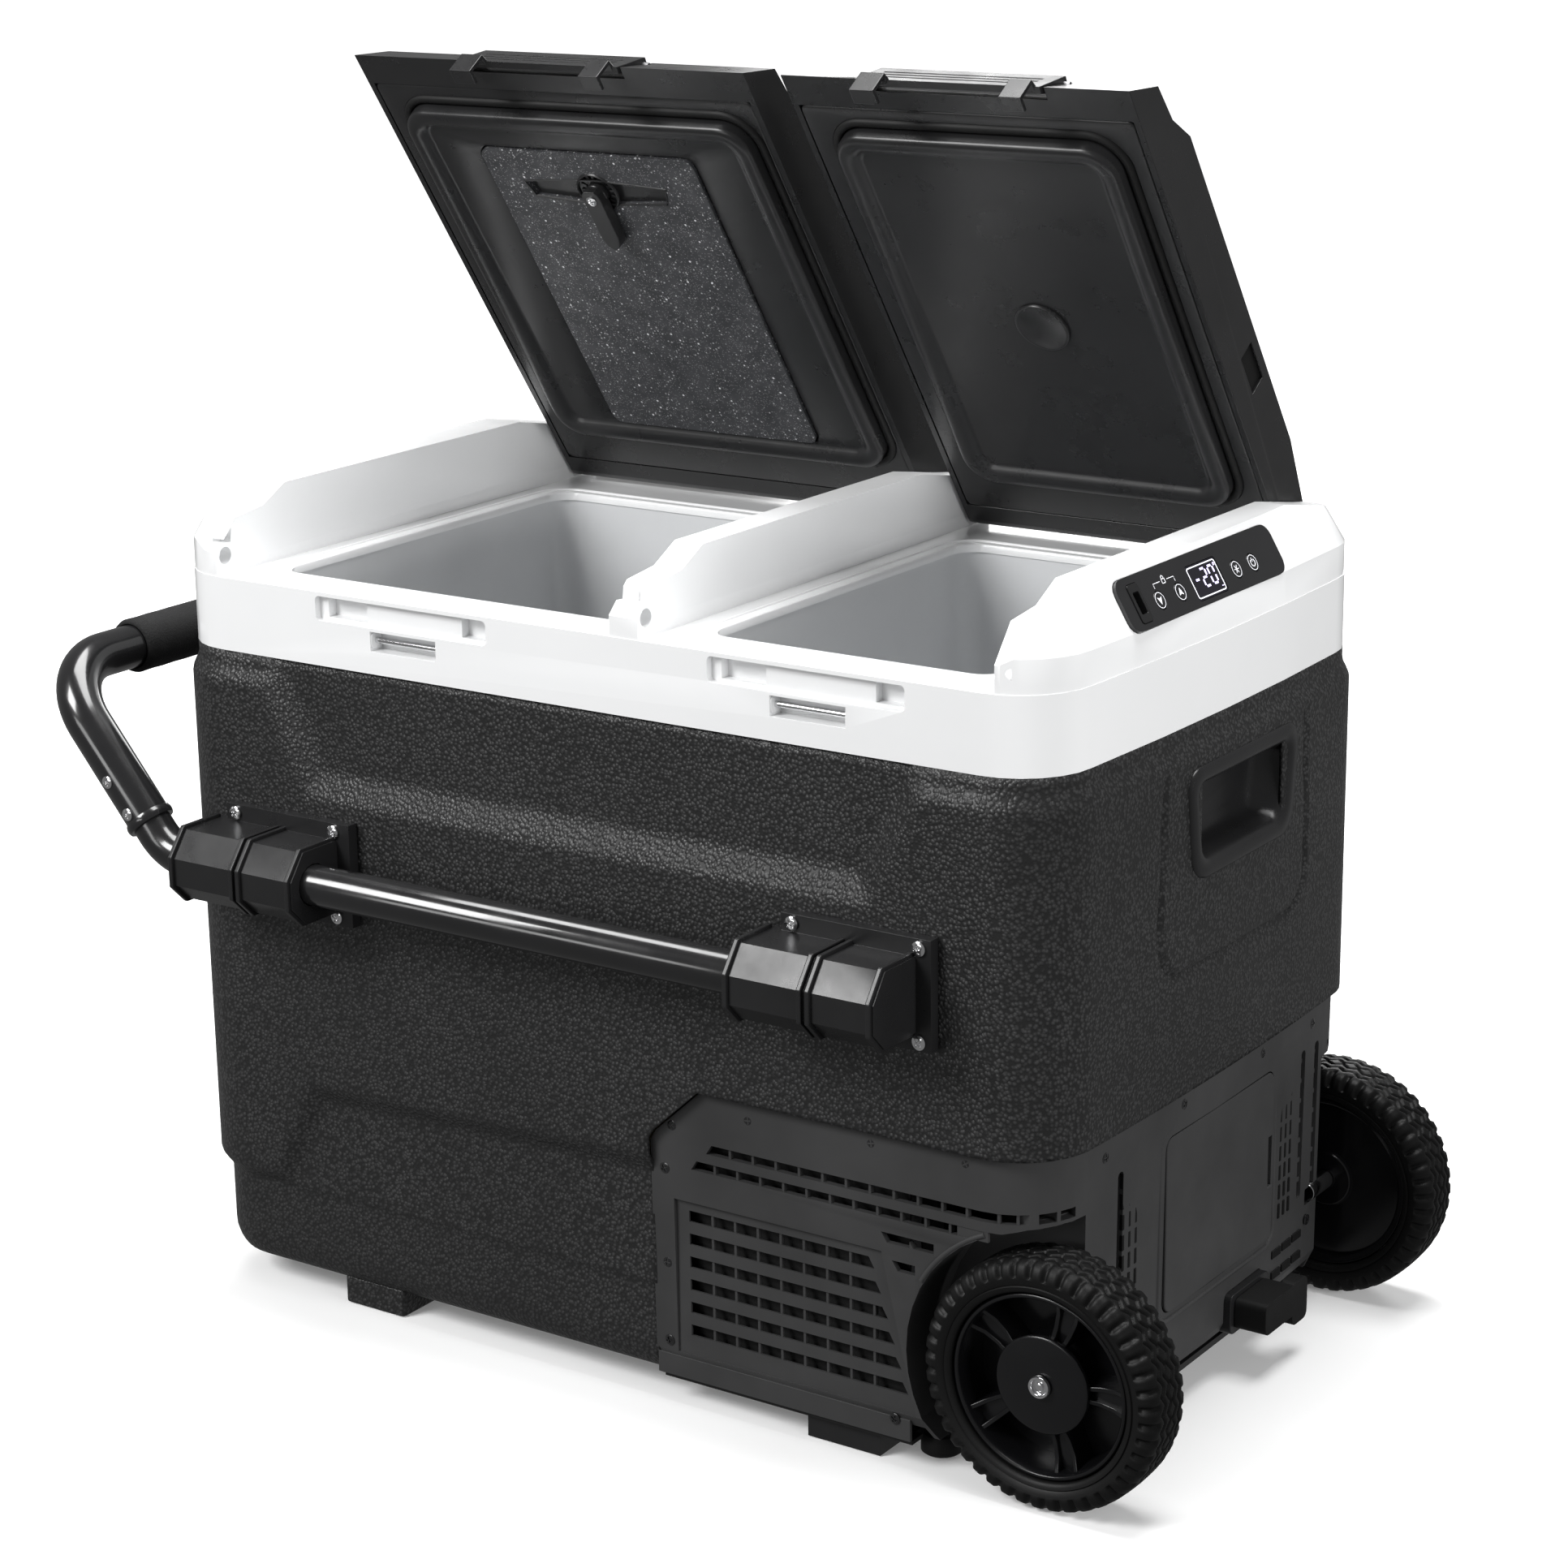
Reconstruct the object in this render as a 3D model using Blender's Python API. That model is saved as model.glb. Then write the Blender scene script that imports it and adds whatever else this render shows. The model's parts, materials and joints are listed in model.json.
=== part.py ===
"""Dual-zone compressor cooler fridge on two wheels, with a tow handle that slides out.

Metres, +Z up, +X towards the wheels, -Y towards the front, where the latches are. All
sizes below are in millimetres and are turned into metres where a mesh is made. The lids
are drawn closed and stand open by OPEN_DEG, their rest pose. Nothing is drawn on a piece
that isn't a shape: the surface finish comes later.
"""
import math

import bmesh
import bpy
from mathutils import Matrix, Vector

MM = 0.001
GAP = 0.3            # clearance between pieces that touch
ORIGIN_X = 6.25      # puts the middle of the whole object's box at x = 0

# Body: half length, half depth and corner radius of the shell at its widest
BODY_HX, BODY_HY, BODY_R = 319.0, 197.0, 48.0
END_BOW = 4.0        # how far the two ends bow out at mid depth
WALL = 3.0
NECK = 4.5           # the white frame is this much smaller all round
Z_BOTTOM, Z_LOW, Z_SEAM = 16.0, 78.0, 421.0
LOW_INSET = 7.0      # the lower band steps in by this much
Z_TOP, TOP_PLATE = 466.5, 5.0

# Compressor bay at the wheel end: its edge runs up, slants across the corner, then goes level
BAY_X, BAY_Z = 46.0, 204.0
BAY_SLANT = ((0.0, -38.0), (4.0, -31.0), (38.0, 0.0))   # offsets from (BAY_X, BAY_Z)

# Shallow recesses pressed into the front and rear faces, each with a slanting edge
RECESS = 5.0
UPPER_RECESS = [(-204, 337), (204, 337), (246, 425), (-246, 425)]
UPPER_FLOOR = [(-196, 348), (196, 348), (232.75, 425), (-232.75, 425)]
LOWER_RECESS = [(-330, 60), (-246, 84), (-212, 149), (60, 158), (60, 60)]
LOWER_FLOOR = [(x + 7, z - 7) for x, z in LOWER_RECESS]
FOOT_LEFT, FOOT_RIGHT = (-204.0, -156.0), (150.0, 200.0)

# Hand pocket in each end wall: y range, z range of its hole through the shell
POCKET_HOLE = (-36.0, 68.0, 337.0, 388.0)

# Tubs: x range, floor height; both share one depth
TUB_Y = (-161.0, 127.0)
TUB_LEFT, TUB_RIGHT = (-253.0, 17.0), (67.0, 262.0)
TUB_LEFT_Z, TUB_RIGHT_Z = 62.0, 246.0
LINER, TUB_CORNER = 2.0, 6.0

# Lids: x ranges, hinge line and how far they stand open at rest
LIDS = {"left": (-268.5, 23.5), "right": (49.5, 276.0)}
LATCH_X = {"left": -126.0, "right": 161.0}
RIM_X = {"left": (-248.0, 12.0), "right": (72.0, 257.0)}
RIM_Y = (-157.0, 122.0)
HINGE_Y, HINGE_Z, OPEN_DEG = 168.0, 478.0, 55.0
CLOSED = (0.0, -HINGE_Y, -HINGE_Z)      # where a piece drawn in a closed lid goes on its hinge
FLANGE_Z = 469.0     # underside of a closed lid
PANEL_TOP, RIM_Z, FIELD_Z = 475.0, 459.0, 464.0
LID_WALL = 4.0
FLAP_HALF, LATCH_PIN_HALF = 60.5, 65.0
HOOKS = ((-54.0, -38.0), (43.0, 57.0))
BOARD, BOARD_Z = (-199.0, -38.0, -128.0, 107.0), (462.7, 469.7)
KNOB, SPINDLE_R = (-120.0, -98.0), 4.0
PLUG_AT, PLUG_R = (167.0, -15.0), 17.5
PIN_R = 3.0
LATCH_Y, LATCH_Z, LATCH_PIN_R = -178.5, 489.0, 1.5
LID_TOP = [(-193, FLANGE_Z), (-174, 496), (-148, 499), (-127, 510), (108, 510), (157, 501),
           (176, 498)]

# Solid blocks behind the frame's front wall, which hold the latch pockets and the rods
BOSS_HALF, BOSS_Y, BOSS_Z = 70.0, -178.5, 428.0
ROD_AT, ROD_R, ROD_HALF = (-187.0, 441.0), 2.0, 27.5

# Cheeks and divider of the white frame
CHEEK_LEFT, CHEEK_RIGHT, DIVIDER = -271.5, 279.0, (26.5, 46.5)
CHEEK_RISES = (4.0, 7.0)  # how far the left and right cheeks stand above a closed lid
FRONT_HOLE, FRONT_HOLE_R = (-184.0, 478.0), 5.4
FRONT_SLOT = [(-177.5, 494.0), (-178.5, 485.6), (-187.0, 486.2)]   # above each front hole
CHEEK_BEND_Z = 486.0  # above this the cheeks' outer faces slope inwards

# Handle
TUBE_Y, TUBE_Z, TUBE_R = 227.0, 295.0, 12.5
TUBE_END_X = 236.0
ELBOW_X = -290.0
HOOP_X, HOOP_Z, HOOP_R, GRIP_R, GRIP_HALF = -380.0, 402.0, 14.0, 17.5, 160.0
BRACKET_X = {"left": -213.5, "right": 199.0}
PLATE = (98.0, 65.0, 7.5)

# Wheels
WHEEL_X, WHEEL_R, WHEEL_W, WHEEL_FACE, RIM_R = 310.0, 75.0, 40.0, 197.0, 55.0
WELL_R, WELL_Y = 88.0, 148.0
AXLE_R, SPOKES = 6.0, 5

# Fan of the condenser, battery door and power inlet, all inside the compressor bay's cover
FAN_AT, FAN_R, BLADES = (130.0, -106.0, 110.0), 49.0, 7
DOOR = (-60.2, 76.0, 69.0, 178.0)
INLET, INLET_BORE_R, CAP_END = (18.0, 68.0, 26.0, 52.0), 9.0, 342.0

# Control panel, on the sloping outer face of the right cheek
PANEL_TILT = 30.4
PANEL_SIZE = (182.0, 31.0)
PANEL_AT = (309.7, -16.0, 499.4)
PANEL_BACK, PANEL_FRONT = -2.2, 0.6    # thickness about its seat plane
BUTTONS = {"down_button": -53.0, "up_button": -29.5, "set_button": 37.5, "power_button": 57.5}
BUTTON_R, BUTTON_UP = 5.5, -3.3        # BUTTON_UP: up the panel from its middle
WINDOW = (-15.0, 20.0, -12.5, 8.5)     # y and z ranges in the panel's own frame
USB, USB_SLOT = (-80.0, -68.0, -12.0, 11.0), (3.2, 6.5)


# ---------------------------------------------------------------- scene and materials
def clear():
    for obj in list(bpy.data.objects):
        bpy.data.objects.remove(obj, do_unlink=True)


def material(name, color, rough, metal=0.0):
    mat = bpy.data.materials.new(name)
    mat.use_nodes = True
    shader = mat.node_tree.nodes["Principled BSDF"]
    shader.inputs["Base Color"].default_value = (*color, 1.0)
    shader.inputs["Roughness"].default_value = rough
    shader.inputs["Metallic"].default_value = metal
    return mat


PALETTE = {
    "black_textured": ((0.016, 0.016, 0.018), 0.6, 0.0),
    "black_plastic": ((0.020, 0.020, 0.022), 0.45, 0.0),
    "white_plastic": ((0.85, 0.86, 0.87), 0.25, 0.0),
    "liner_plastic": ((0.72, 0.73, 0.74), 0.35, 0.0),
    "insulation": ((0.78, 0.70, 0.48), 0.9, 0.0),
    "rubber": ((0.012, 0.012, 0.012), 0.8, 0.0),
    "black_tube": ((0.03, 0.03, 0.03), 0.3, 0.8),
    "chrome": ((0.75, 0.75, 0.76), 0.12, 1.0),
    "steel": ((0.45, 0.45, 0.46), 0.4, 1.0),
    "board": ((0.05, 0.05, 0.055), 0.6, 0.0),
    "panel_gloss": ((0.01, 0.01, 0.012), 0.15, 0.0),
    "display": ((0.30, 0.28, 0.45), 0.1, 0.0),
    "circuit": ((0.02, 0.20, 0.08), 0.5, 0.0),
}


# ---------------------------------------------------------------- making objects
def empty(name, at, parent=None, rotation=(0, 0, 0)):
    obj = bpy.data.objects.new(name, None)
    bpy.context.collection.objects.link(obj)
    obj.location = Vector(at) * MM
    obj.rotation_euler = rotation
    obj.parent = parent
    return obj


def finish(name, bm, finish_name, parent, at=(0, 0, 0), smooth=None):
    """Turn a millimetre bmesh, drawn about the point at, into an object at that point."""
    bmesh.ops.recalc_face_normals(bm, faces=bm.faces)
    bmesh.ops.scale(bm, vec=(MM, MM, MM), verts=bm.verts)
    mesh = bpy.data.meshes.new(name)
    bm.to_mesh(mesh)
    bm.free()
    if smooth:
        mesh.shade_smooth()
        mesh.set_sharp_from_angle(angle=math.radians(smooth))
    obj = bpy.data.objects.new(name, mesh)
    bpy.context.collection.objects.link(obj)
    obj.location = Vector(at) * MM
    obj.parent = parent
    if finish_name:
        mesh.materials.append(MATERIALS[finish_name])
    return obj


def cutter(name, bm, parent=None, at=(0, 0, 0)):
    obj = finish(name, bm, None, parent, at)
    obj.hide_render = True
    obj.display_type = "WIRE"
    return obj


def boolean(target, other, operation="DIFFERENCE"):
    mod = target.modifiers.new(other.name, "BOOLEAN")
    mod.operation = operation
    mod.object = other


def loft(rings):
    """Closed solid through rings that have the same number of points."""
    bm = bmesh.new()
    rows = [[bm.verts.new(p) for p in ring] for ring in rings]
    count = len(rows[0])
    for low, high in zip(rows, rows[1:]):
        for i in range(count):
            j = (i + 1) % count
            bm.faces.new((low[i], low[j], high[j], high[i]))
    bm.faces.new(rows[0])
    bm.faces.new(rows[-1])
    return bm


def placed(axis, u, v, w):
    """Point with u, v in the plane across the axis and w along it."""
    return {"X": (w, u, v), "Y": (u, w, v), "Z": (u, v, w)}[axis]


def prism(points, axis, low, high):
    return loft([[placed(axis, u, v, w) for u, v in points] for w in (low, high)])


def box(low, high):
    (x0, y0, z0), (x1, y1, z1) = low, high
    return prism([(x0, y0), (x1, y0), (x1, y1), (x0, y1)], "Z", z0, z1)


def circle(radius, steps, center=(0, 0)):
    turn = [2 * math.pi * i / steps for i in range(steps)]
    return [(center[0] + radius * math.cos(a), center[1] + radius * math.sin(a)) for a in turn]


def cylinder(axis, center, radius, low, high, steps=24):
    return prism(circle(radius, steps, center), axis, low, high)


def turned(profile, steps=32):
    """Solid of revolution about Y. profile is a closed loop of (radius, y) points."""
    bm = bmesh.new()
    rows = []
    for i in range(steps):
        a = 2 * math.pi * i / steps
        rows.append([bm.verts.new((r * math.cos(a), y, r * math.sin(a))) for r, y in profile])
    count = len(profile)
    for i in range(steps):
        here, there = rows[i], rows[(i + 1) % steps]
        for k in range(count):
            m = (k + 1) % count
            bm.faces.new((here[k], here[m], there[m], there[k]))
    return bm


def rounded(x0, x1, y0, y1, radius, steps=4):
    """Rectangle with round corners, anticlockwise."""
    points = []
    for cx, cy, start in ((x1 - radius, y0 + radius, -90), (x1 - radius, y1 - radius, 0),
                          (x0 + radius, y1 - radius, 90), (x0 + radius, y0 + radius, 180)):
        for i in range(steps + 1):
            a = math.radians(start + 90 * i / steps)
            points.append((cx + radius * math.cos(a), cy + radius * math.sin(a)))
    return points


def plan(inset, steps=6, bow_steps=3):
    """The body's plan outline, moved in by inset, with both ends slightly bowed."""
    hx, hy, r = BODY_HX - inset, BODY_HY - inset, max(BODY_R - inset, 8.0)
    straight = hy - r
    points = []
    for side in (1, -1):
        for i in range(steps + 1):
            a = math.radians(-90 + 90 * i / steps)
            points.append((side * (hx - r + r * math.cos(a)), side * (-hy + r + r * math.sin(a))))
        for i in range(1, bow_steps + 1):
            y = -straight + 2 * straight * i / (bow_steps + 1)
            points.append((side * (hx + END_BOW * (1 - (y / straight) ** 2)), side * y))
        for i in range(steps + 1):
            a = math.radians(90 * i / steps)
            points.append((side * (hx - r + r * math.cos(a)), side * (hy - r + r * math.sin(a))))
    return points


def level(inset, z):
    return [(x, y, z) for x, y in plan(inset)]


def sweep(path, radius, steps=16, inner=None):
    """Tube along a path. Each ring lies across the path; inner makes it hollow."""
    points = [Vector(p) for p in path]
    rings_out, rings_in = [], []
    normal = None
    for i, point in enumerate(points):
        ahead = points[min(i + 1, len(points) - 1)] - points[max(i - 1, 0)]
        tangent = ahead.normalized()
        if normal is None:
            normal = tangent.orthogonal().normalized()
        normal = (normal - tangent * normal.dot(tangent)).normalized()
        side = tangent.cross(normal)
        turn = [2 * math.pi * k / steps for k in range(steps)]
        spokes = [normal * math.cos(a) + side * math.sin(a) for a in turn]
        rings_out.append([point + s * radius for s in spokes])
        if inner:
            rings_in.append([point + s * inner for s in spokes])
    if not inner:
        return loft(rings_out)
    bm = bmesh.new()
    rows = [[bm.verts.new(p) for p in ring] for ring in rings_out + rings_in[::-1]]
    for k, row in enumerate(rows):
        after = rows[(k + 1) % len(rows)]
        for i in range(steps):
            j = (i + 1) % steps
            bm.faces.new((row[i], row[j], after[j], after[i]))
    return bm


def bend(corner, before, after, radius, steps=6):
    """Points of an arc that rounds a corner between two neighbouring points."""
    corner, before, after = Vector(corner), Vector(before), Vector(after)
    a, b = (before - corner).normalized(), (after - corner).normalized()
    half = a.angle(b) / 2
    start, end = corner + a * radius / math.tan(half), corner + b * radius / math.tan(half)
    center = corner + (a + b).normalized() * radius / math.sin(half)
    out = []
    for i in range(steps + 1):
        mix = i / steps
        spin = math.pi - 2 * half
        from_start, from_end = start - center, end - center
        out.append(center + (from_start * math.sin((1 - mix) * spin)
                             + from_end * math.sin(mix * spin)) / math.sin(spin))
    return out


# ---------------------------------------------------------------- body
def bay_edge(out):
    """The compressor bay's edge seen from the front, from below up to its level top."""
    return [(BAY_X + out, -50)] + [(BAY_X + x + out, BAY_Z + z - out) for x, z in BAY_SLANT]


def bay_profile(out=0.0):
    """The L outline of the insulated body seen from the front, grown by out."""
    return [(-400, -50)] + bay_edge(out) + [(400, BAY_Z - out), (400, 600), (-400, 600)]


def shell_rings(inset):
    """Rings of the body from its rounded bottom edge, over the step, to the neck."""
    rings = ((LOW_INSET + 11, Z_BOTTOM + inset), (LOW_INSET + 4, 21 + inset), (LOW_INSET, 30),
             (LOW_INSET - 1, Z_LOW - 4), (0, Z_LOW + 4), (0, 405), (NECK, 413))
    return [level(step_in + inset, z) for step_in, z in rings]


def recess_cutter(name, side, outline, floor, depth, root):
    """Block with sloping edges that takes a recess out of the front or rear face."""
    outside, inside = side * (BODY_HY + 2), side * (BODY_HY - depth)
    shape = loft([[(x, outside, z) for x, z in outline], [(x, inside, z) for x, z in floor]])
    return cutter(name, shape, root)


def recesses(name, side, depth, root):
    return [recess_cutter(f"{name}_upper_{side}", side, UPPER_RECESS, UPPER_FLOOR, depth, root),
            recess_cutter(f"{name}_lower_{side}", side, LOWER_RECESS, LOWER_FLOOR, depth, root)]


def outer_shell(root):
    shell = finish("outer_shell", loft(shell_rings(0) + [level(NECK, Z_SEAM - GAP)]),
                   "black_textured", root, smooth=30)
    boolean(shell, cutter("shell_outline", prism(bay_profile(), "Y", -300, 300), root), "INTERSECT")
    hollow = cutter("shell_hollow", loft(shell_rings(WALL) + [level(NECK + WALL, 500)]), root)
    inner_outline = cutter("hollow_outline", prism(bay_profile(-WALL), "Y", -300, 300), root)
    boolean(hollow, inner_outline, "INTERSECT")
    for side in (-1, 1):
        for block in recesses("hollow", side, RECESS + WALL, root):
            boolean(hollow, block)
    boolean(shell, hollow)
    for side in (-1, 1):
        for block in recesses("shell", side, RECESS, root):
            boolean(shell, block)
        foot = [(FOOT_LEFT[0], 0), (FOOT_LEFT[1], 0), (FOOT_LEFT[1], 17.5), (FOOT_LEFT[0], 17.5)]
        boolean(shell, cutter(f"foot_{side}", prism(foot, "Y", side * 150, side * 184), root), "UNION")
        pocket = prism(rounded(*POCKET_HOLE, 12), "X", side * 330, side * 300)
        boolean(shell, cutter(f"pocket_hole_{side}", pocket, root))


def carry_pocket(name, side, root):
    """Moulded hand pocket let into an end wall, with its finger lip at the top."""
    out = BODY_HX + END_BOW

    def section(depth, y0, y1, z0, z1, radius):
        return [(side * (out - depth), y, z) for y, z in rounded(y0, y1, z0, z1, radius)]

    y0, y1, z0, z1 = POCKET_HOLE
    mouth = (y0 + 0.4, y1 - 0.4, z0 + GAP, z1 - GAP, 11.7)
    cup = [section(24, -32, 64, 341, 384, 9), section(6, *mouth), section(0.2, *mouth)]
    piece = finish(name, loft(cup), "black_plastic", root, smooth=30)
    hole = [section(22, -29, 61, 344, 378, 8), section(-4, -31, 63, 341, 378, 9)]
    boolean(piece, cutter(name + "_hollow", loft(hole), root))


def insulation(root):
    """Foam that fills the space between the shell, the frame and the two tubs."""
    skin = NECK + WALL + GAP + 1
    rings = shell_rings(WALL + GAP) + [level(skin, 425), level(skin, Z_TOP - TOP_PLATE - GAP)]
    foam = finish("insulation_foam", loft(rings), "insulation", root)
    outline = prism(bay_profile(-WALL - GAP), "Y", -300, 300)
    boolean(foam, cutter("foam_outline", outline, root), "INTERSECT")
    for (x0, x1), z in ((TUB_LEFT, TUB_LEFT_Z), (TUB_RIGHT, TUB_RIGHT_Z)):
        around = rounded(x0 - GAP, x1 + GAP, TUB_Y[0] - GAP, TUB_Y[1] + GAP, TUB_CORNER + GAP)
        boolean(foam, cutter(f"tub_hole_{int(z)}", prism(around, "Z", z - GAP, 520), root))
    for side, center in LATCH_X.items():
        half = BOSS_HALF + GAP
        space = box((center - half, -210, BOSS_Z - GAP), (center + half, BOSS_Y + GAP, 500))
        boolean(foam, cutter(f"boss_space_{side}", space, root))
    for side in (-1, 1):
        near, far = sorted((side * 290, side * 350))
        boolean(foam, cutter(f"foam_pocket_{side}", box((near, -42, 332), (far, 74, 393)), root))
        for block in recesses("foam", side, RECESS + WALL + GAP, root):
            boolean(foam, block)


def tub_inside(x_range):
    """Plan outline of the clear space in a tub."""
    (x0, x1), (y0, y1) = x_range, TUB_Y
    return rounded(x0 + LINER, x1 - LINER, y0 + LINER, y1 - LINER, TUB_CORNER - LINER)


def liner(name, x_range, floor_z, root):
    outside = rounded(*x_range, *TUB_Y, TUB_CORNER)
    tub = finish(name, prism(outside, "Z", floor_z, Z_TOP - TOP_PLATE - GAP), "liner_plastic", root,
                 smooth=30)
    hollow = prism(tub_inside(x_range), "Z", floor_z + LINER, 520)
    boolean(tub, cutter(name + "_hollow", hollow, root))


def cheek_profile(rise=0.0):
    """Side view of a cheek: it follows the closed lid's top."""
    top = [(y, z + rise) for y, z in LID_TOP[1:]]
    front = [(-200, Z_TOP - 1), (-200, 471)]
    return front + top + [(188, 488), (210, Z_TOP - 1)]


def raised_bars(frame, root):
    """Both cheeks and the divider, trimmed to the frame's outline and its sloping sides."""
    skin = NECK + 0.5
    rings = ((skin, Z_TOP - 3), (skin, CHEEK_BEND_Z), (skin + 17.0, CHEEK_BEND_Z + 29.0),
             (skin + 18.5, 520))
    outline = cutter("cheek_outline", loft([level(inset, z) for inset, z in rings]), root)
    for name, x_range, rise in (("left_cheek", (-340, CHEEK_LEFT), CHEEK_RISES[0]),
                                ("right_cheek", (CHEEK_RIGHT, 340), CHEEK_RISES[1]),
                                ("divider", DIVIDER, 0)):
        bar = cutter(name + "_bar", prism(cheek_profile(rise), "X", *x_range), root)
        boolean(bar, outline, "INTERSECT")
        boolean(frame, bar, "UNION")


def latch_pockets(frame, side, center, root):
    """A solid block behind the front wall, with two hook pockets and the rod's slot."""
    boss = box((center - BOSS_HALF, -190.5, BOSS_Z),
               (center + BOSS_HALF, BOSS_Y, Z_TOP - TOP_PLATE + 1))
    boolean(frame, cutter(f"latch_boss_{side}", boss, root), "UNION")
    notch = rounded(center - 67, center + 63, 449, 464, 3)
    boolean(frame, cutter(f"latch_notch_{side}", prism(notch, "Y", -200, -188.0), root))
    for x0, x1, z0, z1 in ((-60, -30, 451, 462.5), (42, 60, 451, 462.5), (-25, 25, 435, 447)):
        pocket = box((center + x0, -200, z0), (center + x1, -181.5, z1))
        boolean(frame, cutter(f"latch_pocket_{side}_{x0}", pocket, root))
    half = ROD_HALF + 0.5
    rod_hole = cylinder("X", ROD_AT, ROD_R + GAP, center - half, center + half, 12)
    boolean(frame, cutter(f"rod_hole_{side}", rod_hole, root))


def panel_seat(frame, root):
    """Seat for the control panel, and the well behind it for its board."""
    half_y, half_z = PANEL_SIZE[0] / 2 + GAP, PANEL_SIZE[1] / 2 + GAP
    seat = prism(rounded(-half_y, half_y, -half_z, half_z, 8), "X", PANEL_BACK - GAP, 12)
    board_well = box((-12.0, -half_y + 5, -half_z + 3), (2.0, half_y - 5, half_z - 3))
    for name, shape in (("panel_seat", seat), ("panel_well", board_well)):
        hole = cutter(name, shape, root, PANEL_AT)
        hole.rotation_euler = (0, -math.radians(PANEL_TILT), 0)
        boolean(frame, hole)


def top_frame(root):
    ledge = [level(NECK, Z_SEAM), level(NECK, Z_TOP)]
    frame = finish("top_frame", loft(ledge), "white_plastic", root, smooth=30)
    raised_bars(frame, root)
    inside = [level(NECK + WALL, Z_SEAM - 10), level(NECK + WALL, Z_TOP - TOP_PLATE)]
    boolean(frame, cutter("frame_hollow", loft(inside), root))
    for number, x_range in enumerate((TUB_LEFT, TUB_RIGHT)):
        hole = prism(tub_inside(x_range), "Z", 400, Z_TOP + 1.5)
        boolean(frame, cutter(f"frame_opening_{number}", hole, root))
    for side, center in LATCH_X.items():
        latch_pockets(frame, side, center, root)
    pin_holes = ((CHEEK_LEFT - 9, CHEEK_LEFT + 1), (DIVIDER[0] - 1, DIVIDER[0] + 8.5),
                 (DIVIDER[1] - 8.5, DIVIDER[1] + 1), (CHEEK_RIGHT - 1, CHEEK_RIGHT + 9))
    for number, (x0, x1) in enumerate(pin_holes):
        for name, hole in (("pin_hole", cylinder("X", (HINGE_Y, HINGE_Z), PIN_R + GAP, x0, x1, 16)),
                           ("front_hole", cylinder("X", FRONT_HOLE, FRONT_HOLE_R, x0, x1, 20)),
                           ("front_slot", prism(FRONT_SLOT, "X", x0, x1))):
            boolean(frame, cutter(f"{name}_{number}", hole, root))
    panel_seat(frame, root)


# ---------------------------------------------------------------- lids
def lid_shell_profile():
    """Side view of a closed lid, with a round heel about the hinge line."""
    heel = []
    for i in range(5):
        a = math.radians(-90 + 22.5 * i)
        heel.append((HINGE_Y + 9.0 * math.cos(a), HINGE_Z + 9.0 * math.sin(a)))
    return LID_TOP + heel[::-1]


def lid_inner_profile(inset=0.0):
    """Side view of the hollow in a lid's shell, open at the bottom, shrunk by inset."""
    front, back = -171 + inset, 155 - inset
    top = [(-148 + inset, 494 - inset), (-127 + inset, 506 - inset), (108 - inset, 506 - inset),
           (150 - inset, 498 - inset), (back, 492 - inset)]
    return [(front, FLANGE_Z - 20), (front, 484)] + top + [(back, FLANGE_Z - 20)]


def lid_shell(side, hinge):
    x0, x1 = LIDS[side]
    center = LATCH_X[side]
    shell = finish(f"{side}_lid_shell", prism(lid_shell_profile(), "X", x0, x1), "black_plastic",
                   hinge, CLOSED)

    def cut(name, shape):
        boolean(shell, cutter(f"{side}_{name}", shape, hinge, CLOSED))

    cut("lid_hollow", prism(lid_inner_profile(), "X", x0 + LID_WALL, x1 - LID_WALL))
    notch = [(-205, 463), (-188.5, 463), (-170.5, 488.5), (-171.5, 497), (-181, 507), (-205, 507)]
    cut("latch_notch", prism(notch, "X", center - FLAP_HALF - 1, center + FLAP_HALF + 1))
    half = LATCH_PIN_HALF + 1
    cut("latch_pin_hole", cylinder("X", (LATCH_Y, LATCH_Z), LATCH_PIN_R + GAP, center - half,
                                   center + half, 10))
    for number, (low, high) in enumerate(((x0 - 1, x0 + 9), (x1 - 9, x1 + 1))):
        cut(f"pin_hole_{number}", cylinder("X", (HINGE_Y, HINGE_Z), PIN_R + GAP, low, high, 16))
    if side == "right":
        cut("side_pocket", box((x1 - 5, 22, 488), (x1 + 2, 50, 503)))


def lid_panel(side, hinge):
    """Inner panel with a raised round rim, a recessed field and the gasket in its groove."""
    x0, x1 = LIDS[side]
    low, high = (x0 + LID_WALL + GAP, -170.7, FLANGE_Z), (x1 - LID_WALL - GAP, 154.7, PANEL_TOP)
    panel = finish(f"{side}_lid_panel", box(low, high), "black_plastic", hinge, CLOSED)
    rim = (*RIM_X[side], *RIM_Y)

    def around(grow_x, grow_y, radius, z0, z1):
        return prism(rounded(rim[0] - grow_x, rim[1] + grow_x, rim[2] - grow_y, rim[3] + grow_y,
                             radius), "Z", z0, z1)

    raised = cutter(f"{side}_rim", around(0, 0, 20, RIM_Z, FLANGE_Z + 1), hinge, CLOSED)
    boolean(panel, raised, "UNION")
    field = cutter(f"{side}_field", around(-13, -13, 10, RIM_Z - 4, FIELD_Z), hinge, CLOSED)
    boolean(panel, field)
    groove = cutter(f"{side}_groove", around(6, 7, 26, 460, 473.5), hinge, CLOSED)
    boolean(groove, cutter(f"{side}_groove_core", around(0, 0, 20, 450, 480), hinge, CLOSED))
    boolean(panel, groove)
    gasket = finish(f"{side}_lid_gasket", around(6 - GAP, 7 - GAP, 25, Z_TOP + GAP, 473.2),
                    "rubber", hinge, CLOSED, 30)
    boolean(gasket, cutter(f"{side}_seal_hole", around(GAP, GAP, 20, 450, 480), hinge, CLOSED))
    return panel


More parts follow.
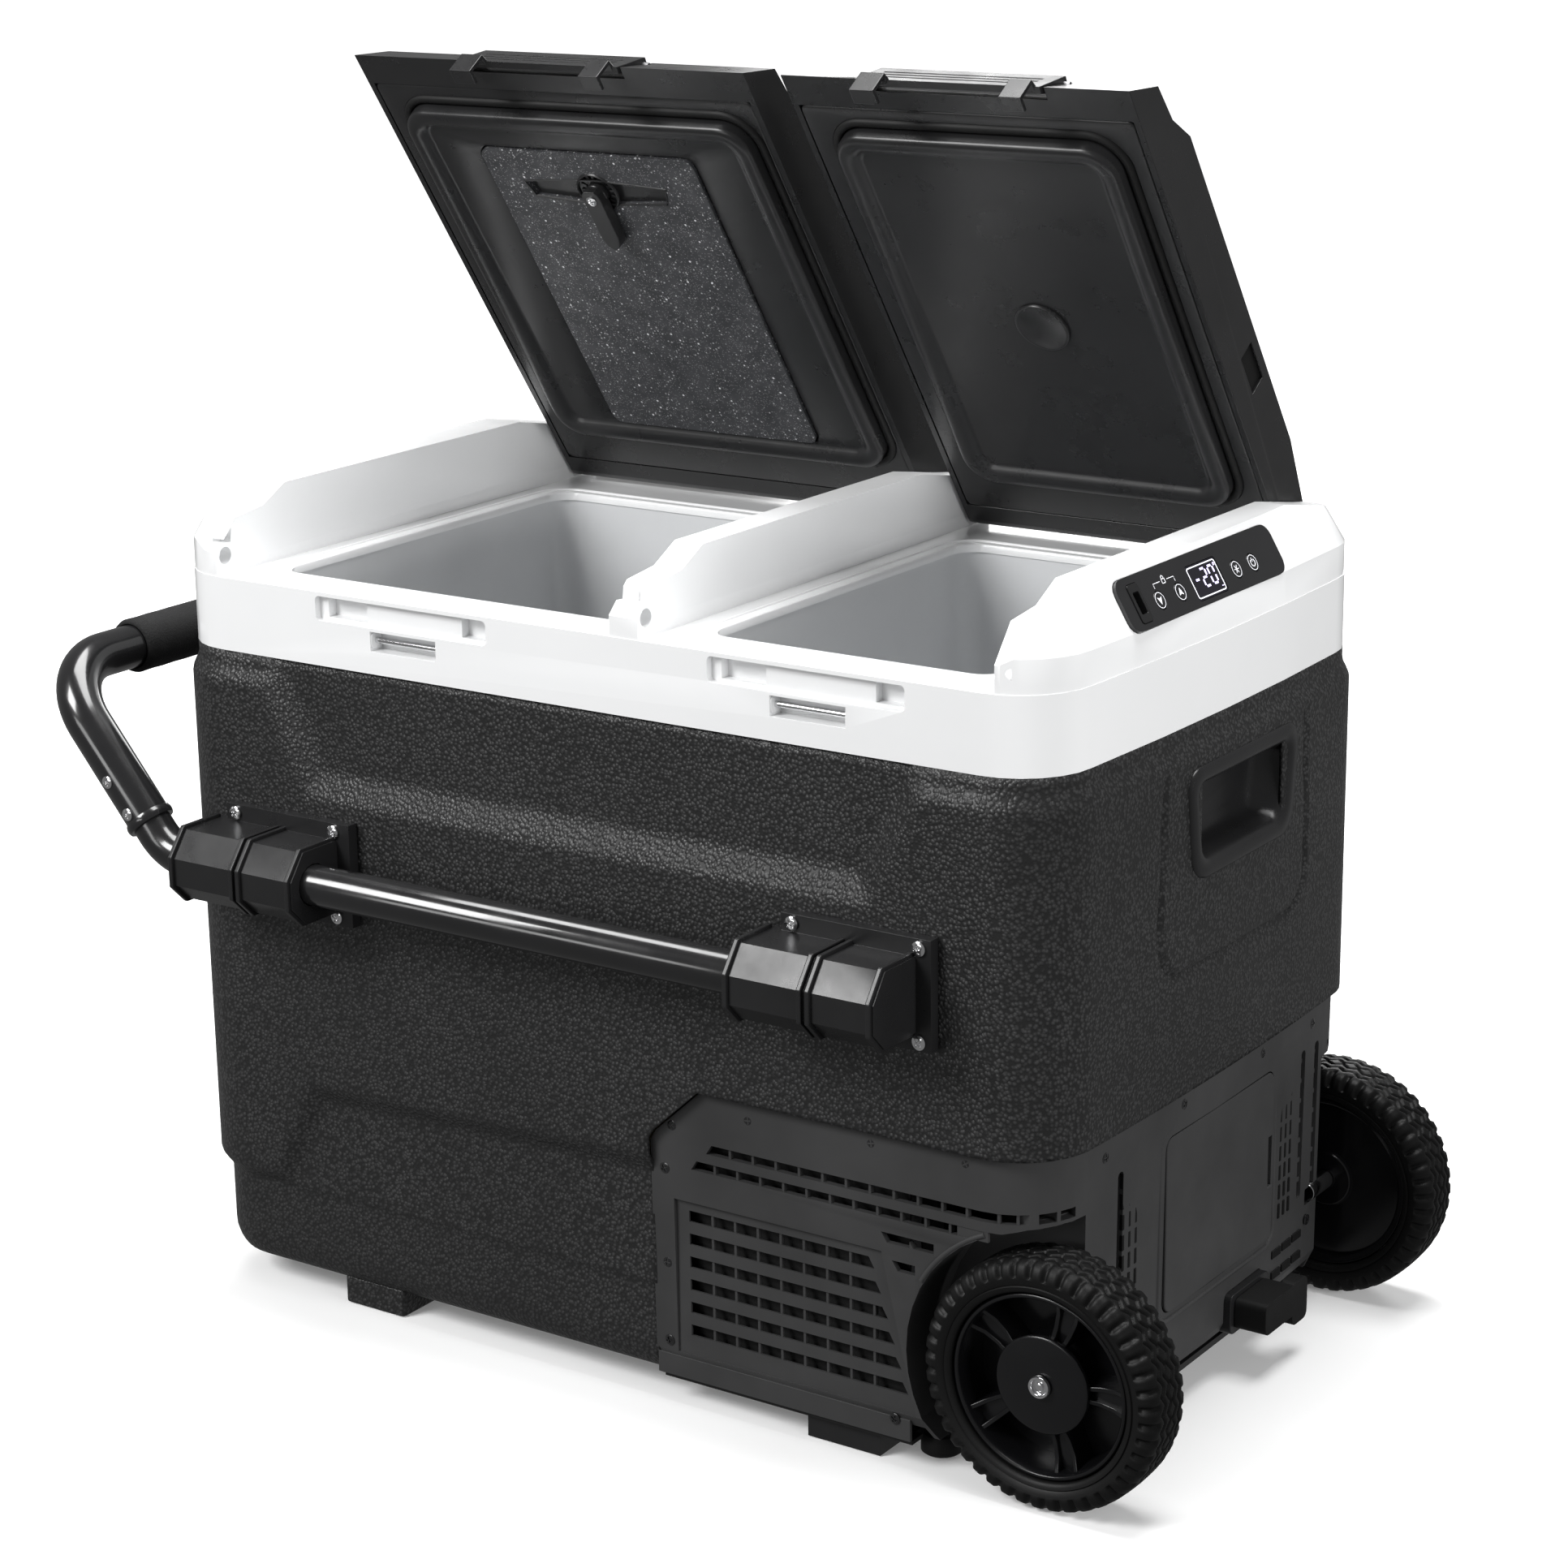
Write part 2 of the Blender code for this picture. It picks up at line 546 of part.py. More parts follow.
def lid(side, root):
    x0, x1 = LIDS[side]
    hinge = empty(f"{side}_lid_hinge", (0, HINGE_Y, HINGE_Z), root, (-math.radians(OPEN_DEG), 0, 0))
    lid_shell(side, hinge)
    panel = lid_panel(side, hinge)
    outline = [(max(y, -170.7), max(z, PANEL_TOP + GAP)) for y, z in lid_inner_profile(GAP)]
    foam = prism(outline, "X", x0 + LID_WALL + GAP, x1 - LID_WALL - GAP)
    finish(f"{side}_lid_foam", foam, "insulation", hinge, CLOSED)
    for number, (low, high) in enumerate(((x0 - 10, x0 + 8), (x1 - 8, x1 + 10))):
        pin = cylinder("X", (HINGE_Y, HINGE_Z), PIN_R, low, high, 16)
        finish(f"{side}_hinge_pin_{number + 1}", pin, "steel", root, smooth=30)
    latch(side, hinge, LATCH_X[side])
    return hinge, panel


def latch(side, hinge, center):
    """Grooved flap with two hooks, on a pin across the lid's front edge."""
    pivot = (0, LATCH_Y - HINGE_Y, LATCH_Z - HINGE_Z)
    turn = empty(f"{side}_latch_axis", pivot, hinge)
    closed = (0, -LATCH_Y, -LATCH_Z)
    outline = [(-194.3, 467.5), (-189.5, 467.0), (-174.2, 487.5), (-175.5, 492.5), (-180.5, 493.5)]
    flap = finish(f"{side}_latch", prism(outline, "X", center - FLAP_HALF, center + FLAP_HALF),
                  "black_plastic", turn, closed)
    hook = [(-199.0, 452.5), (-188.5, 452.5), (-188.5, 458.5), (-194.3, 459.5), (-194.3, 467.0),
            (-189.5, 467.0), (-190.0, 471.0), (-199.0, 466.0)]
    for x0, x1 in HOOKS:
        tab = cutter(f"{side}_hook_{int(x0)}", prism(hook, "X", center + x0, center + x1), turn, closed)
        boolean(flap, tab, "UNION")
    bore = cylinder("X", (LATCH_Y, LATCH_Z), LATCH_PIN_R + GAP, center - 70, center + 70, 10)
    boolean(flap, cutter(f"{side}_flap_bore", bore, turn, closed))
    pin = cylinder("X", (LATCH_Y, LATCH_Z), LATCH_PIN_R, center - LATCH_PIN_HALF,
                   center + LATCH_PIN_HALF, 10)
    finish(f"{side}_latch_pin", pin, "steel", hinge, CLOSED, 30)


def cutting_board(hinge, panel):
    """Board in the left lid, with its turn lever in a bow-tie shaped finger recess."""
    x0, x1, y0, y1 = BOARD
    pocket = prism(rounded(x0 - 1, x1 + 1, y0 - 1, y1 + 1, 8), "Z", 455, BOARD_Z[1] + GAP)
    boolean(panel, cutter("board_pocket", pocket, hinge, CLOSED))
    board = finish("cutting_board", prism(rounded(*BOARD, 7), "Z", *BOARD_Z), "board", hinge, CLOSED)
    bow = [(-54, -6), (-12, -9), (12, -9), (54, -6), (50, 6), (12, 9), (-12, 9), (-50, 6)]
    bow = [(KNOB[0] + x, KNOB[1] + y) for x, y in bow]
    for name, shape in (("recess", prism(bow, "Z", 455, BOARD_Z[0] + 3.3)),
                        ("dish", cylinder("Z", KNOB, 12.5, 455, BOARD_Z[0] + 3.5, 24)),
                        ("bore", cylinder("Z", KNOB, SPINDLE_R + GAP, 450, 480, 16))):
        boolean(board, cutter(f"board_{name}", shape, hinge, CLOSED))
    bore = cylinder("Z", KNOB, SPINDLE_R + GAP, 450, BOARD_Z[1] + 3.3, 16)
    boolean(panel, cutter("spindle_bore", bore, hinge, CLOSED))

    def at(z):
        return (KNOB[0], KNOB[1] - HINGE_Y, z - HINGE_Z)

    spindle = cylinder("Z", (0, 0), SPINDLE_R, 0, 9, 16)
    lever = finish("board_lever", spindle, "black_plastic", hinge, at(BOARD_Z[0] + GAP), 30)
    arm = [(-7, -9), (7, -9), (8, 0), (7, 34), (0, 41), (-7, 34), (-8, 0)]
    arm = cutter("lever_arm", prism(arm, "Z", -8, 0), hinge, at(BOARD_Z[0] - GAP))
    boolean(lever, arm, "UNION")
    knob = cutter("lever_knob", cylinder("Z", (0, 0), 11.0, 0, 6, 20), hinge, at(BOARD_Z[0] - 3.2))
    boolean(lever, knob, "UNION")


def foam_plug(hinge):
    """Round plug over the hole that the right lid is filled with foam through."""
    shape = cylinder("Z", PLUG_AT, PLUG_R, FIELD_Z - 2.2, FIELD_Z - GAP, 28)
    finish("right_lid_plug", shape, "black_plastic", hinge, CLOSED, 30)


# ---------------------------------------------------------------- control panel
def control_panel(root):
    """Drawn lying in its own frame: x is out of the panel, y runs along it, z is up it."""
    tilt = empty("panel_axis", PANEL_AT, root, (0, -math.radians(PANEL_TILT), 0))
    half_y, half_z = PANEL_SIZE[0] / 2, PANEL_SIZE[1] / 2
    back, front = PANEL_BACK, PANEL_FRONT
    outline = rounded(-half_y, half_y, -half_z, half_z, 8)
    fascia = finish("panel_fascia", prism(outline, "X", back, front), "panel_gloss", tilt)

    def through(name, y0, y1, z0, z1, radius):
        hole = prism(rounded(y0 - GAP, y1 + GAP, z0 - GAP, z1 + GAP, radius), "X", -8, 6)
        boolean(fascia, cutter(name, hole, tilt))

    through("window_hole", *WINDOW, 2)
    finish("display_window", prism(rounded(*WINDOW, 2), "X", back, front - 0.2), "display", tilt)
    for name, y in BUTTONS.items():
        hole = cylinder("X", (y, BUTTON_UP), BUTTON_R + GAP, -8, 6, 20)
        boolean(fascia, cutter(name + "_hole", hole, tilt))
        cap = cylinder("X", (0, 0), BUTTON_R, back - 1, GAP, 20)
        finish(name, cap, "panel_gloss", tilt, (front, y, BUTTON_UP), 30)
    through("usb_hole", *USB, 2)
    socket = finish("usb_socket", prism(rounded(*USB, 2), "X", -10.5, front + 0.6), "black_plastic",
                    tilt)
    y, z = (USB[0] + USB[1]) / 2, (USB[2] + USB[3]) / 2
    slot = box((-8.5, y - USB_SLOT[0], z - USB_SLOT[1]), (9, y + USB_SLOT[0], z + USB_SLOT[1]))
    boolean(socket, cutter("usb_slot", slot, tilt))
    finish("control_board", box((-9.0, -60, -9), (-7.4, 80, 9)), "circuit", tilt)


# ---------------------------------------------------------------- handle
def arm_path(side):
    """Centre line of one inner tube, from its blind end to inside the hoop."""
    y = side * TUBE_Y
    corner = (ELBOW_X, y, TUBE_Z)
    top = (HOOP_X, y, HOOP_Z)
    along = (Vector(top) - Vector(corner)).normalized()
    end = Vector(corner) + along * 62
    return [Vector((TUBE_END_X, y, TUBE_Z))] + bend(corner, (TUBE_END_X, y, TUBE_Z), top, 36, 4) + [end]


def handle(root):
    for name, side in (("front", -1), ("rear", 1)):
        finish(f"handle_tube_{name}", sweep(arm_path(side), TUBE_R, 16), "black_tube", root, smooth=30)
    path = []
    for side in (-1, 1):
        low = Vector((ELBOW_X, side * TUBE_Y, TUBE_Z))
        top = Vector((HOOP_X, side * TUBE_Y, HOOP_Z))
        along = (top - low).normalized()
        run = [low + along * 24] + bend(top, low, (HOOP_X, 0, HOOP_Z), 42, 5)
        path += run if side < 0 else run[::-1]
    finish("handle_hoop", sweep(path, HOOP_R, 16, TUBE_R + GAP), "black_tube", root, smooth=30)
    roll = cylinder("Y", (HOOP_X, HOOP_Z), GRIP_R, -GRIP_HALF, GRIP_HALF, 16)
    grip = finish("foam_grip", roll, "rubber", root, smooth=30)
    bore = cylinder("Y", (HOOP_X, HOOP_Z), HOOP_R + 2 * GAP, -200, 200, 16)
    boolean(grip, cutter("grip_bore", bore, root))


def bracket(name, center_x, side, blind, root):
    """Flanged plate with a faceted tube housing in two halves."""
    face = side * (BODY_HY + GAP)
    long, tall, thick = PLATE
    y_low, y_high = sorted((face, face + side * thick))
    plate = box((center_x - long / 2, y_low, TUBE_Z - tall / 2),
                (center_x + long / 2, y_high, TUBE_Z + tall / 2))
    piece = finish(name, plate, "black_plastic", root)
    back = side * (BODY_HY + 3)
    y = side * TUBE_Y
    facets = [(back, -22), (y + side * 9, -22), (y + side * 20, -11), (y + side * 20, 6),
              (y + side * 8, 22), (back, 22)]
    halves = ((center_x - long / 2 - 9, center_x - 6), (center_x - 4, center_x + long / 2 - 10))
    for number, x_range in enumerate(halves):
        half = prism([(u, TUBE_Z + v) for u, v in facets], "X", *x_range)
        boolean(piece, cutter(f"{name}_half_{number}", half, root), "UNION")
    band = prism([(u * 0.985, TUBE_Z + v * 0.88) for u, v in facets], "X", center_x - 6.5, center_x - 3.5)
    boolean(piece, cutter(f"{name}_band", band, root), "UNION")
    end = TUBE_END_X + 1.5 if blind else center_x + 80
    bore = cylinder("X", (y, TUBE_Z), TUBE_R + 2 * GAP, center_x - 80, end, 16)
    boolean(piece, cutter(f"{name}_bore", bore, root))


# ---------------------------------------------------------------- compressor bay
def well(side, radius, depth, root, name):
    """Cutter for the round recess that a wheel turns in."""
    return cutter(name, cylinder("Y", (WHEEL_X, WHEEL_R), radius, side * depth, side * 260, 40), root)


def compressor_cover(root):
    out = LOW_INSET
    rings = [level(out + 6, Z_BOTTOM + 5), level(out, 34), level(out - 2, BAY_Z - GAP)]
    cover = finish("compressor_cover", loft(rings), "black_plastic", root, smooth=30)
    edge = bay_edge(GAP)
    outline = edge + [(edge[-1][0], 400), (500, 400), (500, -50)]
    boolean(cover, cutter("cover_outline", prism(outline, "Y", -300, 300), root), "INTERSECT")
    for side in (-1, 1):
        boolean(cover, well(side, WELL_R, WELL_Y, root, f"well_{side}"))
    hollow = [level(out + WALL, 0), level(out + WALL, 34), level(out - 2 + WALL, 400)]
    inner = cutter("cover_hollow", loft(hollow), root)
    for side in (-1, 1):
        boolean(inner, well(side, WELL_R + WALL, WELL_Y - WALL, root, f"well_skin_{side}"))
    boolean(cover, inner)
    for side in (-1, 1):
        face = side * 200
        inside = side * 182
        for number in range(2):
            z = 168 - 12 * number
            left = 86 - 11 * number
            slot = [(left, z - 3), (300, z - 3), (300, z + 3), (left + 4, z + 3)]
            boolean(cover, cutter(f"vent_top_{side}_{number}", prism(slot, "Y", inside, face), root))
        for number in range(6):
            z = 122 - 14.5 * number
            right = 196 + 4.5 * number
            slot = [(71, z - 3.5), (right + 4, z - 3.5), (right, z + 3.5), (71, z + 3.5)]
            boolean(cover, cutter(f"vent_low_{side}_{number}", prism(slot, "Y", inside, face), root))
        hole = cylinder("Y", (WHEEL_X, WHEEL_R), AXLE_R + GAP, side * 130, side * 160, 16)
        boolean(cover, cutter(f"axle_hole_{side}", hole, root))
    for number, (y, z0) in enumerate(((-111, 114), (120, 78), (140, 78))):
        slot = rounded(y - 3, y + 3, z0, 176, 2.5, 2)
        boolean(cover, cutter(f"vent_end_{number}", prism(slot, "X", 300, 330), root))
    y0, y1, z0, z1 = DOOR
    door = rounded(y0 - 0.8, y1 + 0.8, z0 - 0.8, z1 + 0.8, 8)
    boolean(cover, cutter("door_hole", prism(door, "X", 300, 330), root))
    y0, y1, z0, z1 = INLET
    inlet = rounded(y0 - GAP, y1 + GAP, z0 - GAP, z1 + GAP, 5)
    boolean(cover, cutter("inlet_hole", prism(inlet, "X", 300, 330), root))


def wheel_bay(root):
    outline = [(BAY_X + 4, -178), (220, -178), (220, -142), (306, -142), (306, 142), (220, 142),
               (220, 178), (BAY_X + 4, 178)]
    plate = finish("base_plate", prism(outline, "Z", 14, 18), "black_plastic", root)
    for side in (-1, 1):
        x0, x1 = FOOT_RIGHT
        foot = prism([(x0, 0), (x1, 0), (x1, 16), (x0, 16)], "Y", side * 144, side * 184)
        boolean(plate, cutter(f"right_foot_{side}", foot, root), "UNION")
        round_foot = cylinder("Z", (232, side * 132), 11, 0, 16, 16)
        boolean(plate, cutter(f"round_foot_{side}", round_foot, root), "UNION")
    can = [(0.5, -44), (40, -44), (54, -34), (56, 0), (54, 34), (40, 44), (0.5, 44)]
    pot = finish("compressor", turned(can, 24), "steel", root, (130, 78, 92), 30)
    pot.rotation_euler = (math.radians(90), 0, 0)
    finish("condenser", box((70, -150, 30), (190, -122, 190)), "steel", root)
    shroud = finish("fan_shroud", box((72, -118, 36), (188, -94, 184)), "black_plastic", root)
    bore = cylinder("Y", (FAN_AT[0], FAN_AT[2]), FAN_R + 4, -130, -80, 32)
    boolean(shroud, cutter("shroud_bore", bore, root))
    fan(root)


def fan(root):
    """Fan rotor of BLADES twisted blades on the shroud's axis."""
    hub = cylinder("Y", (0, 0), 19, -10, 8, 20)
    rotor = finish("fan_rotor", hub, "black_plastic", root, FAN_AT, 30)
    axis = empty("fan_axis", FAN_AT, root)
    for number in range(BLADES):
        blade = cutter(f"blade_{number}", box((12, -1.2, -12), (FAN_R, 1.2, 12)), axis)
        spin = Matrix.Rotation(2 * math.pi * number / BLADES, 3, "Y")
        blade.rotation_euler = (spin @ Matrix.Rotation(math.radians(35), 3, "X")).to_euler()
        boolean(rotor, blade, "UNION")


def battery(root):
    finish("battery_pack", box((232, -52, 76), (304, 68, 172)), "black_textured", root)
    hinge_y = DOOR[0] - 0.8
    hinge = empty("battery_door_axis", (BODY_HX + END_BOW - LOW_INSET + 1.5, hinge_y, 0), root)
    door = finish("battery_door", prism(rounded(*DOOR, 7.2), "X", -2.6, 0.0), "black_plastic", hinge,
                  (0, -hinge_y, 0), 30)
    notch = cylinder("Z", (-2.6, DOOR[1] + 0.5), 7, 104, 136, 16)
    boolean(door, cutter("finger_notch", notch, hinge, (0, -hinge_y, 0)))


def power_inlet(root):
    """Socket low in the end wall, and the rubber cap that plugs it, with its pull tab."""
    y0, y1, z0, z1 = INLET
    middle, face = ((y0 + y1) / 2, (z0 + z1) / 2), 320.6
    socket = finish("power_inlet", prism(rounded(*INLET, 5), "X", face - 24.6, face), "black_plastic",
                    root)
    bore = cylinder("X", middle, INLET_BORE_R, face - 16.6, face + 9, 16)
    boolean(socket, cutter("inlet_bore", bore, root))
    block = rounded(y0 + 4, y1 - 4, z0 + 3, z1 - 3, 5)
    cap = finish("power_inlet_cap", prism(block, "X", face + GAP, CAP_END), "rubber", root)
    stem = cylinder("X", middle, INLET_BORE_R - 2 * GAP, face - 14.6, face + 1.4, 16)
    boolean(cap, cutter("cap_stem", stem, root), "UNION")
    tab = prism(rounded(y1 - 10, y1 + 10, z0 - 4, z1 - 2, 5), "X", CAP_END - 9, CAP_END)
    boolean(cap, cutter("cap_tab", tab, root), "UNION")


# ---------------------------------------------------------------- wheels
def wheel(name, side, root):
    center = (WHEEL_X, side * (WHEEL_FACE - WHEEL_W / 2), WHEEL_R)
    half = WHEEL_W / 2
    flank = [(RIM_R + 1, half - 4), (WHEEL_R - 6, half), (WHEEL_R - 1.5, half - 4), (WHEEL_R, half - 10)]
    tyre = [(r, -y) for r, y in flank] + flank[::-1]
    finish(f"{name}_tyre", turned(tyre, 32), "rubber", root, center, 40)

    # Rim barrel with a web at mid width and a boss that comes nearly out to the face
    inner, barrel = AXLE_R + GAP, RIM_R + 0.6
    hub = [(inner, -12), (18, -12), (18, -4), (50, -4), (51, -half + 5), (barrel, -half + 5),
           (barrel, half - 5), (51, half - 5), (50, 4), (30, 4), (29, half - 6), (inner, half - 6)]
    hub = [(r, side * y) for r, y in hub]
    piece = finish(f"{name}_hub", turned(hub, 30), "black_plastic", root, center, 40)
    for number in range(SPOKES):
        start = 360 * number / SPOKES + 16
        corners = ((34, 0), (47, 0), (48, 20), (47, 40), (34, 40))
        window = [(r * math.cos(math.radians(start + a)), r * math.sin(math.radians(start + a)))
                  for r, a in corners]
        boolean(piece, cutter(f"{name}_window_{number}", prism(window, "Y", -10, 10), piece))
    axle_bolt(name, side, root)


def axle_bolt(name, side, root):
    """Bolt that a wheel turns on, from inside the cover's well, with a hexagon socket head."""
    outer = side * (WHEEL_FACE - 6 + GAP)

    def rod(radius, low, high, steps):
        return cylinder("Y", (WHEEL_X, WHEEL_R), radius, low, high, steps)

    bolt = finish(f"{name}_axle_bolt", rod(AXLE_R, side * 138, outer, 16), "chrome", root, smooth=30)
    head = cutter(f"{name}_bolt_head", rod(10, outer, outer + side * 5, 20), root)
    boolean(bolt, head, "UNION")
    socket = cutter(f"{name}_hex", rod(4.5, outer + side * 1.5, outer + side * 8, 6), root)
    boolean(bolt, socket)


clear()
MATERIALS = {name: material(name, *values) for name, values in PALETTE.items()}
root = empty("cooler", (ORIGIN_X, 0, 0))
outer_shell(root)
insulation(root)
liner("left_tub_liner", TUB_LEFT, TUB_LEFT_Z, root)
liner("right_tub_liner", TUB_RIGHT, TUB_RIGHT_Z, root)
carry_pocket("left_carry_pocket", -1, root)
carry_pocket("right_carry_pocket", 1, root)
top_frame(root)
for lid_side, middle in LATCH_X.items():
    rod_shape = cylinder("X", ROD_AT, ROD_R, middle - ROD_HALF, middle + ROD_HALF, 12)
    finish(f"{lid_side}_striker_rod", rod_shape, "chrome", root, smooth=30)
left_hinge, left_panel = lid("left", root)
right_hinge = lid("right", root)[0]
cutting_board(left_hinge, left_panel)
foam_plug(right_hinge)
control_panel(root)
handle(root)
for depth_name, depth_side in (("front", -1), ("rear", 1)):
    for end_name, middle in BRACKET_X.items():
        bracket(f"{depth_name}_{end_name}_bracket", middle, depth_side, end_name == "right", root)
compressor_cover(root)
wheel_bay(root)
battery(root)
power_inlet(root)
wheel("front_wheel", -1, root)
wheel("rear_wheel", 1, root)
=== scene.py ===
"""Finer shapes, materials, studio and camera for the dual-zone compressor cooler fridge.

Shapes are drawn in millimetres, in the body's own frame, and become metres in piece().
Lid and latch pieces are drawn with the lid closed, then turned open about its hinge.
"""
import json
from math import atan2, copysign, cos, hypot, pi, radians, sin, tan

import bmesh
import bpy
from mathutils import Matrix, Vector


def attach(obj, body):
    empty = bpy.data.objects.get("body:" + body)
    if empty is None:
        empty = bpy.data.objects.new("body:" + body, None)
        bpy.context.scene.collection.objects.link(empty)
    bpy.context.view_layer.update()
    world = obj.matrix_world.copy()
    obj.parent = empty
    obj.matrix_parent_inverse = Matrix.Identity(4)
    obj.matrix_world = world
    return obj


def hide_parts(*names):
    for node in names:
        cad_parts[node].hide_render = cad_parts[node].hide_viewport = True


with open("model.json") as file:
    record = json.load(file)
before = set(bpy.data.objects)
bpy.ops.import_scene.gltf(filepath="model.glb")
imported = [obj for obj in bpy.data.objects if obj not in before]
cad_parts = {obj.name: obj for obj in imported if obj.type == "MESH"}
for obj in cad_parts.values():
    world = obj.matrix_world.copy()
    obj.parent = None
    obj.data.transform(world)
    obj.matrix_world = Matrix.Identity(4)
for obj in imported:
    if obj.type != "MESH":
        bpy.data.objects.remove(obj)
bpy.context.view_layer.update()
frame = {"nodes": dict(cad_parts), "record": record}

NODES = frame["nodes"]
SLOT_OF = {part["node"]: part["material_slot"] for part in frame["record"]["subparts"]}

MM = 0.001
ORIGIN_X = 6.25

# Body, top frame and compressor bay
BODY_HX, BODY_HY, BODY_R, END_BOW = 319, 197, 48, 4
CORNER_X, CORNER_Y = BODY_HX - BODY_R, BODY_HY - BODY_R
Z_SEAM, Z_TOP = 420.7, 466.5
BAY_X, BAY_Z, SLANT_X, SLANT_Z = 46, 204, 84, 166
BAY_SLANT = ((BAY_X, SLANT_Z), (50, 173), (SLANT_X, BAY_Z))
UPPER_DEPTH, UPPER_SLOPE, LOWER_DEPTH, LOWER_SLOPE = 7, 17, 6, 11
POCKET_Y, POCKET_Z = 16, 362.5
ROUND_TUB = 18
SHARP = 35
TUBS = {"left": (-253, 17, 62), "right": (67, 262, 246)}
TUB_Y = (-161, 127)

# Lids
LIDS = {"left": (-268.5, 23.5), "right": (49.5, 276)}
RIM_X = {"left": (-248, 12), "right": (72, 257)}
RIM_Y = (-157, 122)
LATCH_X = {"left": -126, "right": 161}
HINGE_Y, HINGE_Z, OPEN_DEG = 168, 478, 55
BOARD = (-199, -38, -128, 107)
KNOB = (-120, -98)
DISC_AT = (167, -15)

# Handle, wheels, panel
TUBE_Y, TUBE_Z, TUBE_R, TUBE_END_X, ELBOW_X = 227, 295, 12.5, 236, -290
HOOP_X, HOOP_Z, HOOP_R, GRIP_R, GRIP_HALF = -380, 402, 14, 17.5, 160
BRACKET_X = {"left": -213.5, "right": 199}
WHEEL_X, WHEEL_R, WHEEL_W, WHEEL_FACE = 310, 75, 40, 197
WELL_R, SPOKES, TREAD_LUGS = 88, 5, 44
PANEL_TILT, PANEL_AT, PANEL_SIZE = 30.4, (309.7, -16, 499.4), (182, 31)
BUTTONS = {"down": -53, "up": -29.5, "set": 37.5, "power": 57.5}
BUTTON_UP = -3.3
WINDOW = (-15, 20, -12.5, 8.5)
DOOR = (-60.2, 76, 69, 178)
VENT_Z, VENT_PITCH = 168, 16

SIDES = (-1, 1)
ENDS = ("left", "right")
FACES = {"front": -1, "rear": 1}


def shift(x, y, z):
    return Matrix.Translation((x, y, z))


def rotate(degrees, axis):
    return Matrix.Rotation(radians(degrees), 4, axis)


HINGE = shift(0, HINGE_Y, HINGE_Z)
LID = HINGE @ rotate(-OPEN_DEG, "X") @ HINGE.inverted()
PANEL = shift(*PANEL_AT) @ rotate(-PANEL_TILT, "Y")
WORLD = Matrix.Scale(MM, 4) @ shift(ORIGIN_X, 0, 0)


def linked(name, data):
    obj = bpy.data.objects.new(name, data)
    bpy.context.collection.objects.link(obj)
    return obj


# ---- camera, light, floor
def studio():
    """Camera, five softboxes, a dim white world and a white floor."""
    cam = linked("camera", bpy.data.cameras.new("camera"))
    yaw, pitch, roll = 34.27, 16.07, -0.79
    turn = rotate(yaw, "Z") @ rotate(90 - pitch, "X") @ rotate(roll, "Z")
    cam.matrix_world = shift(1.23547, -1.78367, 0.95213) @ turn
    cam.data.sensor_width, cam.data.lens = 36, 83.19
    bpy.context.scene.camera = cam

    for name, at, aim_z, size, watts in (("key", (-1.3, -2.3, 2.3), 0.3, (1.3, 1.3), 94),
            ("top", (0, 0.2, 2.8), 0.4, (2.2, 1.4), 104),
            ("side", (2.6, -0.4, 0.75), 0.35, (1.2, 0.8), 42),
            ("back", (-0.9, 2.7, 1.3), 0.3, (1.6, 1), 26),
            ("front_strip", (-0.6, -3, 0.9), 0.3, (1.6, 0.5), 12)):
        lamp = bpy.data.lights.new(name, "AREA")
        lamp.shape, lamp.size, lamp.size_y, lamp.energy = "RECTANGLE", *size, watts
        obj = linked(name, lamp)
        obj.location = at
        obj.visible_glossy = name != "side"
        aim = Vector((0.2 if name == "side" else 0, 0, aim_z))
        obj.rotation_euler = (aim - Vector(at)).to_track_quat("-Z", "Y").to_euler()

    world = bpy.data.worlds.new("studio")
    bpy.context.scene.world = world
    world.use_nodes = True
    back = world.node_tree.nodes["Background"]
    back.inputs["Color"].default_value = (1, 1, 1, 1)
    back.inputs["Strength"].default_value = 0.2
    bpy.context.scene.view_settings.view_transform = "Standard"

    bm = bmesh.new()
    bmesh.ops.create_grid(bm, x_segments=8, y_segments=8, size=30)
    mesh = bpy.data.meshes.new("floor")
    bm.to_mesh(mesh)
    bm.free()
    floor = linked("floor", mesh)
    floor.location = (0, 0, -0.0005)
    # Its white would otherwise turn every black surface grey
    floor.visible_glossy = floor.visible_diffuse = False
    n = Nodes("floor_white")
    # The floor brightens away from the object, as a lit studio sweep does
    far = n.node("VectorMath", "Value", {"operation": "LENGTH"}, Vector=n.place)
    n.shade(Base_Color=(0.9, 0.9, 0.9, 1), Roughness=0.55, Specular_IOR_Level=0.15,
            Emission_Color=(1, 1, 1, 1), Emission_Strength=n.span(far, 0.5, 2.6, 0.14, 0.95))
    mesh.materials.append(n.mat)


